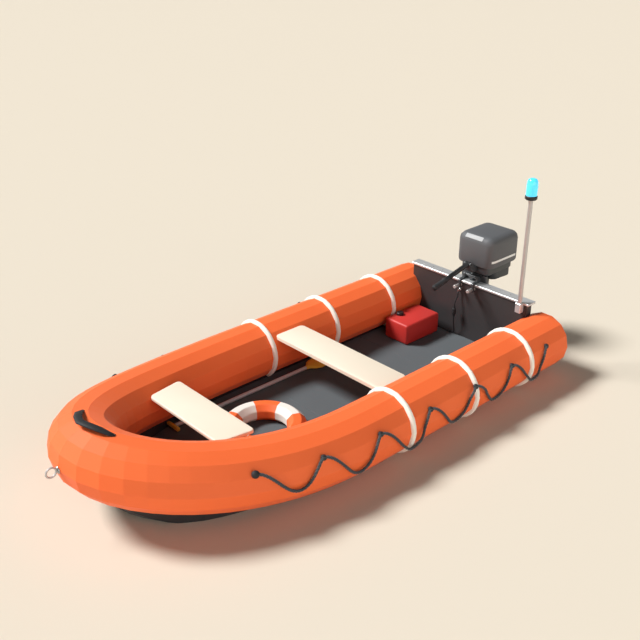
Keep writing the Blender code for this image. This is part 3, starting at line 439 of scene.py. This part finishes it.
# %% [markdown]
# ### Paints and boards
#
# Floor and transom are marine plywood under thick paint. On the floor the paint carries grit for
# grip, which is a noise at about 5 mm here. The thwarts are plywood under cream enamel: a noise
# stretched along the board lets the grain telegraph through the coat.

# %% Painted boards
def deck_paint(name, light, dark, grit_mm):
    """Flat paint with grit in it."""
    made, tree, shader = finish(name, light, 0.8)
    place = drift(tree, shader, light, dark, patch_mm=260, contrast=0.8)
    grit = add(
        tree, "ShaderNodeTexNoise", {"Vector": place, "Scale": 1000 / grit_mm, "Detail": 2.0}
    )
    texture(tree, shader, grit.outputs["Fac"], depth_mm=0.4, strength=0.35)
    return made


def drawn_out(tree, place, along, share):
    """Coordinates that stretch a pattern along one axis, to 1 / share of its length."""
    squeeze = tuple(share if axis == along else 1.0 for axis in range(3))
    return add(tree, "ShaderNodeMapping", {"Vector": place, "Scale": squeeze}).outputs["Vector"]


def painted_board(name, light, dark, along, grain_mm=9.0):
    """Enamel through which the grain shows, along X, Y or Z as 0, 1 or 2."""
    made, tree, shader = finish(name, light, 0.5)
    place = drift(tree, shader, light, dark, patch_mm=300, contrast=0.9)
    grain_place = drawn_out(tree, place, along, 0.06)
    grain = add(
        tree, "ShaderNodeTexNoise",
        {"Vector": grain_place, "Scale": 1000 / grain_mm, "Detail": 3.0, "Roughness": 0.6},
    )
    texture(tree, shader, grain.outputs["Fac"], depth_mm=0.3, strength=0.25)
    return made


DECK = deck_paint("grey non-slip deck paint", "#5b6265", "#565c5f", grit_mm=5.0)
TRANSOM_PAINT = painted_board("charcoal enamel on plywood", "#3d3c3d", "#383738", along=1)
THWART_PAINT = painted_board("cream enamel on plywood", "#f6ead6", "#f1e3ce", along=1)

# %% [markdown]
# ### Metals
#
# Anodised aluminium keeps the fine lines of the extrusion die along its length. Stainless steel is
# brighter and a little brushed. A noise squeezed along one axis makes both. The thick satin oxide
# on the cap, the mast and the paddle scatters light as paint does, so those are only partly
# metallic.

# %% Metals
def drawn_metal(name, light, dark, roughness, along, line_mm, metallic=1.0):
    """Metal with fine lines along X, Y or Z as 0, 1 or 2."""
    made, tree, shader = finish(name, light, roughness, metallic)
    place = drift(tree, shader, light, dark, patch_mm=120, contrast=0.9)
    lines_place = drawn_out(tree, place, along, 0.02)
    lines = add(
        tree, "ShaderNodeTexNoise", {"Vector": lines_place, "Scale": 1000 / line_mm, "Detail": 2.0}
    )
    texture(tree, shader, lines.outputs["Fac"], depth_mm=0.1, strength=0.2)
    return made


# Two colours, roughness, the lines' axis, their width in mm, and how metallic
CAP_ALUMINIUM = drawn_metal("anodised aluminium bar", "#dfe0e1", "#d3d5d6", 0.38, 1, 2.0, 0.55)
MAST_ALUMINIUM = drawn_metal("anodised aluminium pole", "#c8c4c3", "#bdb9b8", 0.40, 2, 2.0, 0.55)
SHAFT_ALUMINIUM = drawn_metal("anodised aluminium shaft", "#dcdcdf", "#d1d1d5", 0.4, 0, 2.0, 0.5)
STEEL = drawn_metal("brushed stainless steel", "#c4c4c3", "#b6b6b5", 0.3, 0, 1.5)
SATIN_PLATE = drawn_metal("satin zinc plated steel", "#c9c5c3", "#bdb9b7", 0.45, 0, 1.5, 0.4)

# %% [markdown]
# ### Plastics, rubber and motor paint
#
# Rotomoulded polyethylene has a slight orange peel, injection-moulded parts are smoother, rubber
# is dull with a fine bloom. The outboard's castings are powder-coated dark grey with a thin clear
# gloss, and its cowl is sprayed with a lighter grey satin enamel.

# %% Moulded and sprayed finishes
def moulded(name, light, dark, roughness, peel_mm, coat=0.0):
    """Plastic, rubber or thick paint with an orange peel."""
    made, tree, shader = finish(name, light, roughness, coat=coat)
    place = drift(tree, shader, light, dark, patch_mm=150, contrast=0.9)
    peel = add(
        tree, "ShaderNodeTexNoise", {"Vector": place, "Scale": 1000 / peel_mm, "Detail": 1.5}
    )
    texture(tree, shader, peel.outputs["Fac"], depth_mm=0.25, strength=0.18)
    return made


# Two colours, roughness, and the size of the peel in mm
TANK_PLASTIC = moulded("red rotomoulded polyethylene", "#cc3832", "#c4322d", 0.5, 6)
BLACK_NYLON = moulded("black moulded nylon", "#1c1d20", "#17181a", 0.45, 3)
RUBBER = moulded("black rubber", "#232427", "#1d1e20", 0.7, 3)
YELLOW_PLASTIC = moulded("yellow polypropylene", "#ffd553", "#f8ca46", 0.5, 5)
MOTOR_PAINT = moulded("dark grey powder coat", "#3b3f42", "#363a3d", 0.5, 4, coat=0.1)
COWL_PAINT = moulded("dark grey satin enamel", "#5d5f62", "#585a5d", 0.6, 8)
PLATE_GREY = moulded("light grey anodised plate", "#a4a6a7", "#9da0a1", 0.5, 3)
TRIM_WHITE = moulded("white moulded trim", "#efeeeb", "#e8e7e4", 0.5, 4)
ORANGE_SKIN = moulded("orange polyethylene skin", "#fb7034", "#f56a2e", 0.55, 7)
WHITE_SKIN = moulded("white polyethylene skin", "#f3efe7", "#eae5db", 0.5, 7)

# %% [markdown]
# ### Rope and lamp
#
# The lifelines are laid polyester, dark grey, with fine fibres across each strand. The beacon is a
# blue polycarbonate lens with its lamp lit, so part of its light is its own: emission in the same
# hue keeps it bright and flat whatever falls on it.

# %% Rope and lamp
def fibre(name, light, dark, fibre_mm=2.0):
    """Dull spun fibres."""
    made, tree, shader = finish(name, light, 0.85)
    place = drift(tree, shader, light, dark, patch_mm=8, contrast=0.9)
    strands = add(
        tree, "ShaderNodeTexNoise", {"Vector": place, "Scale": 1000 / fibre_mm, "Detail": 2.0}
    )
    texture(tree, shader, strands.outputs["Fac"], depth_mm=0.3, strength=0.5)
    shader.inputs["Sheen Weight"].default_value = 0.2
    return made


ROPE = fibre("dark grey laid polyester", "#474d51", "#3c4246")

RIB_MM = 12
LENS, lens_tree, lens_shader = finish("lit blue polycarbonate", "#45cdf2", 0.2, coat=0.4)
lens_place = drift(
    lens_tree, lens_shader, "#45cdf2", "#38bfe6", patch_mm=60, contrast=0.8
)
ribs = add(
    lens_tree, "ShaderNodeTexWave", {"Vector": lens_place, "Scale": 1000 / RIB_MM / WAVES},
    bands_direction="Z",
)
texture(lens_tree, lens_shader, ribs.outputs["Fac"], depth_mm=1.0, strength=0.25)
lens_shader.inputs["Emission Color"].default_value = linear("#5ccffa")
lens_shader.inputs["Emission Strength"].default_value = 0.62
print(len(bpy.data.materials), "materials so far")

# %% [markdown]
# ## The hull and its boards
#
# These solids already have their form. Each gets its skin: the tubes keep their flat panels with
# crisp creases, as cloth panels glued edge to edge have, and the boards get rounded arrises.

# %% Dress the hull
for node in ("tube_port", "tube_starboard", "tube_bow_port", "tube_bow_starboard"):
    dressed(node, TUBE_CLOTH, angle=1, panels=True)
dressed("hull", HULL_CLOTH, angle=12)
for place in ("aft", "mid", "fore"):
    for side in ("port", "starboard"):
        dressed(f"band_{side}_{place}", BAND_CLOTH, angle=50, panels=True)
for place in ("aft", "middle", "fore"):
    dressed(f"floorboard_{place}", DECK, edge=0.003)
dressed("transom", TRANSOM_PAINT, edge=0.003)
dressed("transom_cap", CAP_ALUMINIUM, edge=0.004, steps=3)
dressed("thwart_aft", THWART_PAINT)

# %% [markdown]
# ### The fore thwart
#
# The fore thwart is a board that narrows with the bow and stands on two knees beside the tubes. It
# is one plain plank with round corners, so it is beveled from a block, corners first, then rims.

# %% Make the fore thwart
THWART_HALF = 0.415
THWART_LOW, THWART_HIGH = 0.412, 0.440
KNEE_INNER, KNEE_OUTER, KNEE_FOOT = 0.330, 0.372, 0.300

fore_thwart = block(
    "thwart_fore_board", (1.570, -THWART_HALF, THWART_LOW), (1.833, THWART_HALF, THWART_HIGH),
    THWART_PAINT, 0.032, 0.008, front=0.90,
)
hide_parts("thwart_fore")
for side, word in ((1, "port"), (-1, "starboard")):
    right, left = sorted((side * KNEE_INNER, side * KNEE_OUTER))
    block(
        f"thwart_knee_{word}", (1.600, right, KNEE_FOOT), (1.720, left, THWART_LOW - 0.0002),
        THWART_PAINT, 0.008, 0.003,
    )

# %% [markdown]
# ## Lifelines
#
# A rescue boat carries a rope along each side for people in the water to hold. It is rove through
# a row of moulded anchors and sags between them. The rope is three strands laid round each other,
# so it is made as three helices about the rope's own line, each a thin bevelled curve. The line
# itself follows the tube's panels, so the tube's centre line is worked out first.

# %% Work out the tube's centre line
TUBE_RADIUS = 0.216
TUBE_Z = 0.250
HALF_BEAM = 0.700
STERN_X = -1.116
BOW_START = 0.924
BOW_LENGTH = 1.547
BOW_POWER = 2.04
BOW_PANELS = 18
SHEER = 0.206
SHEER_POWER = 2.22
STRAIGHT = BOW_START - STERN_X
NEARBY = 0.004

quarter = np.linspace(0, math.pi / 2, 2001)
BOW_X = BOW_START + BOW_LENGTH * np.sin(quarter) ** (2 / BOW_POWER)
BOW_Y = HALF_BEAM * np.cos(quarter) ** (2 / BOW_POWER)
BOW_ALONG = np.concatenate([[0], np.cumsum(np.hypot(np.diff(BOW_X), np.diff(BOW_Y)))])
BOW_ARC = float(BOW_ALONG[-1])


def centre(along):
    """The port centre line's point and its level outward direction, at a length from the stern."""
    if along <= STRAIGHT:
        return Vector((STERN_X + along, HALF_BEAM, TUBE_Z)), Vector((0, 1, 0))
    bow = min(along - STRAIGHT, BOW_ARC)
    near, far = max(bow - NEARBY, 0), min(bow + NEARBY, BOW_ARC)
    here, behind, before = [
        Vector((float(np.interp(s, BOW_ALONG, BOW_X)), float(np.interp(s, BOW_ALONG, BOW_Y)), 0))
        for s in (bow, near, far)
    ]
    ahead = (before - behind).normalized()
    climb = SHEER * (max(0.0, here.x - BOW_START) / BOW_LENGTH) ** SHEER_POWER
    return Vector((here.x, here.y, TUBE_Z + climb)), Vector((-ahead.y, ahead.x, 0))


def on_panels(along, angle, radius, side):
    """A point over the tube's flat panels, 0 outboard and 90 degrees on top."""
    def at(s):
        middle, outward = centre(s)
        point = middle + radius * (math.cos(angle) * outward + math.sin(angle) * UP)
        return Vector((point.x, side * point.y, point.z))

    if along <= STRAIGHT:
        return at(along)
    place = (along - STRAIGHT) / BOW_ARC * BOW_PANELS
    first = min(int(place), BOW_PANELS - 1)
    seam = [STRAIGHT + BOW_ARC * (first + k) / BOW_PANELS for k in (0, 1)]
    return at(seam[0]).lerp(at(seam[1]), place - first)


print("bow quarter", round(BOW_ARC, 3), "m round")

# %% [markdown]
# ### The rope and its anchors
#
# Each length of the rope hangs lowest a little aft of its middle, rises over the bands that it
# crosses, and keeps clear of the seams of the bow. The anchors are moulded rubber domes, turned
# from one profile; the foremost pair is the largest.

# %% Lay the lifelines
# Anchors from the stern forward: X on the centre line, height angle in degrees
LINE_ANCHORS = (
    (-0.842, 27.0), (-0.412, 25.0), (0.032, 25.0), (0.479, 26.0), (0.950, 29.0), (1.383, 31.0),
    (1.800, 31.0),
)
# How far each length hangs below its anchors round the tube, in degrees, and where along it
LINE_DROPS = (50.0, 52.0, 52.0, 52.0, 49.0, 41.0)
LINE_LOW = 0.43
LINE_STEPS = 70
LINE_RADIUS = 0.0108
LINE_CLEAR = 0.0020
LAY_LENGTH = 0.066
STRAND = 0.0052
STRAND_OFFSET = 0.0056
BAND_X = (0.658, 0.0, -0.649)
BAND_RADIUS, BAND_CLEAR = 0.236, 0.0015
# The rope is off the tube from this far beside a band's middle, and fully up this much nearer
CLIMB_FROM, CLIMB_LENGTH = 0.105, 0.058
SEAM_LIFT, SEAM_RAMP = 0.0028, 0.1
ANCHOR = (
    (0, 0), (0.0165, 0), (0.0195, 0.004), (0.0195, 0.011), (0.0170, 0.0180), (0.010, 0.0230),
    (0, 0.0242),
)
LAST_ANCHOR_SIZE = 1.25
# An anchor's foot sinks into the fabric to this share of the tube's radius
ANCHOR_SEAT = 0.988


def over_bands(x):
    """Extra height of the lifeline where it crosses a band, and a little over the bow's seams."""
    near = min(abs(x - band) for band in BAND_X)
    part = min(1.0, max(0.0, (CLIMB_FROM - near) / CLIMB_LENGTH))
    seam = SEAM_LIFT * min(1.0, max(0.0, x - BOW_START + SEAM_RAMP) / SEAM_RAMP)
    return seam + (BAND_RADIUS - TUBE_RADIUS + BAND_CLEAR) * part * part * (3 - 2 * part)


def line_route(side):
    """The rope's own line and the direction away from the tube at each of its points."""
    anchors = []
    for x, up in LINE_ANCHORS:
        straight = x <= BOW_START
        along = x - STERN_X if straight else STRAIGHT + float(np.interp(x, BOW_X, BOW_ALONG))
        anchors.append((along, math.radians(up)))
    skew = math.log(0.5) / math.log(LINE_LOW)
    line, away = [], []
    for (near, low), (far, high), drop in zip(anchors, anchors[1:], LINE_DROPS):
        for step in range(LINE_STEPS):
            part = step / LINE_STEPS
            along = near + (far - near) * part
            sag = math.radians(drop) * math.sin(math.pi * part ** skew) ** 2
            angle = low + (high - low) * part - sag
            radius = TUBE_RADIUS + LINE_RADIUS + LINE_CLEAR + over_bands(along + STERN_X)
            point = on_panels(along, angle, radius, side)
            line.append(point)
            away.append((point - on_panels(along, angle, 0.0, side)).normalized())
    return line, away, anchors


def laid_rope(name, line, away):
    """Three strands wound about the line, the first length of it to the last."""
    walked = 0.0
    strands = [[], [], []]
    for i, point in enumerate(line):
        if i:
            walked += (point - line[i - 1]).length
        ahead = (line[min(i + 1, len(line) - 1)] - line[max(i - 1, 0)]).normalized()
        across = ahead.cross(away[i])
        for k, strand in enumerate(strands):
            turn = 2 * math.pi * (walked / LAY_LENGTH + k / 3)
            aside = math.cos(turn) * away[i] + math.sin(turn) * across
            strand.append(point + STRAND_OFFSET * aside)
    return round_tube(name, strands, STRAND, sides=1)


for side, word in ((1, "port"), (-1, "starboard")):
    line, away, anchors = line_route(side)
    rope = laid_rope(f"rope_{word}", line, away)
    rope.data.materials.append(ROPE)
    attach(rope, "boat")
    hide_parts(f"lifeline_{word}")
    for i, (along, angle) in enumerate(anchors):
        lift = over_bands(along + STERN_X)
        foot = on_panels(along, angle, TUBE_RADIUS * ANCHOR_SEAT + lift, side)
        size = LAST_ANCHOR_SIZE if i == len(anchors) - 1 else 1.0
        outward = (foot - on_panels(along, angle, 0.0, side)).normalized()
        turned(
            f"anchor_{word}_{i}",
            [(radius * size, height * size) for radius, height in ANCHOR],
            RUBBER, foot, outward, steps=18,
        )
    print(word, "lifeline with", len(line), "points a strand")

# %% [markdown]
# ## Lifebuoy
#
# The ring buoy is a foam ring in a polyethylene skin, moulded in two halves with an eight-sided
# section, and orange and white by turns in eight parts. An eight-sided circle spun about the
# ring's axis makes the body, a bevel eases its ridges as the mould's corners do, and each face
# takes the colour of the eighth of the ring that it lies in.

# %% Make the lifebuoy
low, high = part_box("lifebuoy")
ring_middle = (Vector(low) + Vector(high)) / 2
ring_thick = (high[2] - low[2]) / 2
RING_HALF_WIDTH = 0.067
ring_radius = (high[0] - low[0]) / 2 - RING_HALF_WIDTH
SECTION_SIDES = 8
RING_STEPS = 64
WHITE_START = math.radians(67.5)
RING_EASE = 0.006
flat_to_corner = 1 / math.cos(math.pi / SECTION_SIDES)

flats_level = Matrix.Rotation(math.pi / SECTION_SIDES, 4, "Z")
to_size = Matrix.Diagonal((RING_HALF_WIDTH, ring_thick, 1, 1))
upright = Matrix.Rotation(math.pi / 2, 4, "X")
out_to_rim = Matrix.Translation((ring_radius, 0, 0))

bm = bmesh.new()
bmesh.ops.create_circle(
    bm, segments=SECTION_SIDES, radius=flat_to_corner,
    matrix=out_to_rim @ upright @ to_size @ flats_level,
)
bmesh.ops.spin(
    bm, geom=bm.verts[:] + bm.edges[:], cent=(0, 0, 0), axis=(0, 0, 1),
    angle=2 * math.pi, steps=RING_STEPS, use_merge=True,
)
bmesh.ops.remove_doubles(bm, verts=bm.verts, dist=1e-6)
bmesh.ops.translate(bm, vec=ring_middle, verts=bm.verts)
for face in bm.faces:
    out = face.calc_center_median() - ring_middle
    eighth = int(((math.atan2(out.y, out.x) + WHITE_START) % (2 * math.pi)) / (math.pi / 4))
    face.material_index = eighth % 2
buoy = piece("lifebuoy_ring", bm, ORANGE_SKIN)
buoy.data.materials.append(WHITE_SKIN)
ridge = buoy.modifiers.new("eased ridges", "BEVEL")
ridge.width = RING_EASE
ridge.segments = 3
ridge.limit_method = "ANGLE"
ridge.angle_limit = math.radians(30)
ridge.harden_normals = True
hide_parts("lifebuoy")
print("lifebuoy", round(2 * (ring_radius + RING_HALF_WIDTH), 3), "m across")

# %% [markdown]
# ## Gear on the floor
#
# The tank is blown in one piece and stands in the starboard corner, its black filler cap screwed
# on top. The paddle is an aluminium tube with a moulded yellow blade pushed into one end and a
# T-grip on the other; it lies under the thwarts. Fuel fittings are turned from stainless bar. All
# of them already have their true form as solids, so they only get their skins. The bulb is part of
# the hose, and its solid is left as it is but for its rubber.

# %% Dress the gear
dressed("fuel_tank", TANK_PLASTIC, angle=40)
dressed("fuel_cap", BLACK_NYLON, angle=35)
dressed("tank_fitting", STEEL, angle=35)
dressed("line_fitting", STEEL, angle=35)
dressed("paddle_shaft", SHAFT_ALUMINIUM, angle=40)
dressed("paddle_blade", YELLOW_PLASTIC, angle=40)
dressed("paddle_grip", YELLOW_PLASTIC, angle=40)
nodes["primer_bulb"].data.materials.clear()
nodes["primer_bulb"].data.materials.append(RUBBER)
hose.data.materials.append(RUBBER)

# %% [markdown]
# ## Bow fittings, mast and light
#
# A rubber carrying handle is vulcanised over the bow and a steel ring for towing hangs on a plate
# in front. Aft, a pole stands in a socket on the transom and holds the blue beacon clear of
# everybody's heads. The pole is a drawn tube, the base a turned nylon cup, the lens a moulded
# dome.

# %% Dress the fittings
dressed("bow_handle", RUBBER, angle=50)
dressed("tow_plate", STEEL, angle=35)
dressed("tow_ring", SATIN_PLATE, angle=60)
dressed("mast_socket", CAP_ALUMINIUM, angle=35)
dressed("mast", MAST_ALUMINIUM, angle=40)
dressed("light_base", BLACK_NYLON)
dressed("light_lens", LENS, angle=40)

# %% [markdown]
# ## Valves and screws
#
# Each side tube is inflated through a valve in the middle of its stern end, where nobody sits on
# it: a round nylon body with a sunk cap. The transom's aluminium cap is held by a row of pan-head
# screws. Both are turned parts, so a profile spun about an axis makes them.

# %% Fit valves and screws
VALVE = (
    (0, 0.0003), (0.031, 0.0003), (0.034, 0.003), (0.034, 0.008), (0.031, 0.011), (0.024, 0.011),
    (0.0225, 0.006), (0.0165, 0.006), (0.0155, 0.010), (0.006, 0.012), (0, 0.012),
)
SCREW = (
    (0, 0.0002), (0.0048, 0.0002), (0.0048, 0.0012), (0.0036, 0.0024), (0.0015, 0.0029),
    (0, 0.0030),
)
SCREWS, SCREW_PITCH = 11, 0.1
CLAMP_ROOM = 0.15

for side, word in ((1, "port"), (-1, "starboard")):
    end_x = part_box(f"tube_{word}")[0][0]
    tube_end = (end_x, side * HALF_BEAM, TUBE_Z)
    turned(f"valve_{word}", VALVE, BLACK_NYLON, tube_end, (-1, 0, 0), steps=36)

cap_low, cap_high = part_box("transom_cap")
screw_x = (cap_low[0] + cap_high[0]) / 2
for i in range(SCREWS):
    screw_y = (i - (SCREWS - 1) / 2) * SCREW_PITCH
    if abs(screw_y) > CLAMP_ROOM:
        turned(f"cap_screw_{i}", SCREW, STEEL, (screw_x, screw_y, cap_high[2]), steps=12)
print("cap's top at", round(cap_high[2], 4), "and tube ends at", round(end_x, 4))

# %% [markdown]
# ## The outboard
#
# The motor hangs on the transom by a clamp with two hand screws. A swivel bracket tilts in the
# clamp, and the leg steers in the swivel with everything that it carries. The castings are powder
# coated. An apron below the swivel's beam closes the view between pan and transom.

# %% Dress the clamp, the swivel and the leg
dressed("clamp_bracket", MOTOR_PAINT, edge=0.0015)
for side in ("port", "starboard"):
    dressed(f"clamp_screw_{side}", SATIN_PLATE, angle=35)
dressed("swivel_bracket", MOTOR_PAINT, angle=35)
block(
    "swivel_apron", (-1.100, -0.126, 0.546), (-1.074, 0.126, 0.606), MOTOR_PAINT, 0.006, 0.004,
    BODY_OF["swivel_bracket"],
)
dressed("motor_leg", MOTOR_PAINT, angle=35)
dressed("steering_shaft", STEEL, angle=35)

# %% [markdown]
# ### The pan
#
# Under the cowl is the pan, one casting: a tray that the cowl closes on, a deeper sump aft and a
# yoke that turns with the steering. It shows in the picture as one deep block, so it is made anew
# from boards with round corners, at the sump's full width. A latch behind it holds the cowl down.

# %% Make the pan
MOTOR = BODY_OF["lower_pan"]
# Name, low and high corner, material, corner radius, edge radius, body, width of the front end
CASTINGS = (
    ("pan_tray", (-1.410, -0.137, 0.612), (-1.065, 0.137, 0.6777),
     MOTOR_PAINT, 0.038, 0.010, MOTOR, 1.0),
    ("pan_sump", (-1.408, -0.134, 0.540), (-1.180, 0.134, 0.6125),
     MOTOR_PAINT, 0.052, 0.010, MOTOR, 0.88),
    ("pan_yoke", (-1.200, -0.028, 0.5855), (-1.111, 0.028, 0.6125),
     MOTOR_PAINT, 0.020, 0.003, MOTOR, 1.0),
    ("cowl_latch", (-1.4440, -0.028, 0.684), (-1.4364, 0.028, 0.722),
     BLACK_NYLON, 0.003, 0.002, MOTOR, 1.0),
)
castings = {casting[0]: block(*casting) for casting in CASTINGS}
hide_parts("lower_pan")

# %% [markdown]
# ### Cowl, tiller and foot
#
# The cowl is a hollow moulding in a slightly lighter enamel, and it covers the black powerhead. The
# tiller folds in a cast fork and ends in a rubber twist grip, and the gearcase at the foot of the
# leg carries the propeller.

# %% Dress the cowl, the tiller and the foot
dressed("cowl", COWL_PAINT, angle=31)
dressed("powerhead", BLACK_NYLON, angle=35)
dressed("tiller_fork", MOTOR_PAINT, angle=35)
dressed("tiller_arm", BLACK_NYLON, angle=35)
dressed("tiller_grip", RUBBER, angle=35)
dressed("gearcase", MOTOR_PAINT, angle=35)
dressed("propeller", MOTOR_PAINT, angle=35)

# %% [markdown]
# ### Trim on the cowl
#
# A blank plate sits on the slope over the cowl's front, and a white strip runs along each side
# above the joint, on to the front corner. The strip is cut as a flat outline that follows the
# corner's facets and is then raised to its height.

# %% Trim the cowl
COWL_FRONT, COWL_TOP, COWL_SIDE = -1.042, 0.935, 0.177
CORNER, SLOPE = 0.064, 0.058
FACET = math.radians(30)
PLATE_Y = -0.010
STRIP_START, STRIP_LOW, STRIP_HIGH = -1.374, 0.732, 0.750
STRIP_THICK, STRIP_GAP = 0.0022, 0.0003
COWL = BODY_OF["cowl"]

slope_out = SLOPE * (1 - math.cos(FACET / 2) * math.sqrt(0.5))
plate_at = Vector((COWL_FRONT - slope_out, PLATE_Y, COWL_TOP - slope_out))
block(
    "cowl_plate", (-0.0185, -0.086, 0.0002), (0.0185, 0.086, 0.0026),
    PLATE_GREY, 0.004, 0.0007, COWL,
    place=Matrix.Translation(plate_at) @ Matrix.Rotation(math.radians(45), 4, "Y"),
)


def strip(name, points, thick, low, high, material, body):
    """A strip that follows points on a level outline, standing out from it by thick."""
    bm = bmesh.new()
    outer = []
    for i, point in enumerate(points):
        ahead = (points[min(i + 1, len(points) - 1)] - points[max(i - 1, 0)]).normalized()
        across = Vector((ahead.y, -ahead.x))
        if across.y * point.y < 0:
            across = -across
        outer.append(point + thick * across)
    loop = [bm.verts.new((p.x, p.y, low)) for p in [*points, *reversed(outer)]]
    raised = bmesh.ops.extrude_face_region(bm, geom=[bm.faces.new(loop)])
    top = [item for item in raised["geom"] if isinstance(item, bmesh.types.BMVert)]
    bmesh.ops.translate(bm, vec=(0, 0, high - low), verts=top)
    return piece(name, bm, material, body, angle=40)


for side, word in ((1, "port"), (-1, "starboard")):
    outline = [Vector((STRIP_START, side * (COWL_SIDE + STRIP_GAP)))]
    for angle in (math.pi / 2, math.pi / 2 - FACET):
        x = COWL_FRONT - CORNER + (CORNER + STRIP_GAP) * math.cos(angle)
        y = COWL_SIDE - CORNER + (CORNER + STRIP_GAP) * math.sin(angle)
        outline.append(Vector((x, side * y)))
    strip(
        f"cowl_strip_{word}", outline, STRIP_THICK, STRIP_LOW, STRIP_HIGH, TRIM_WHITE, COWL
    )
print("cowl plate at", tuple(round(v, 3) for v in plate_at))
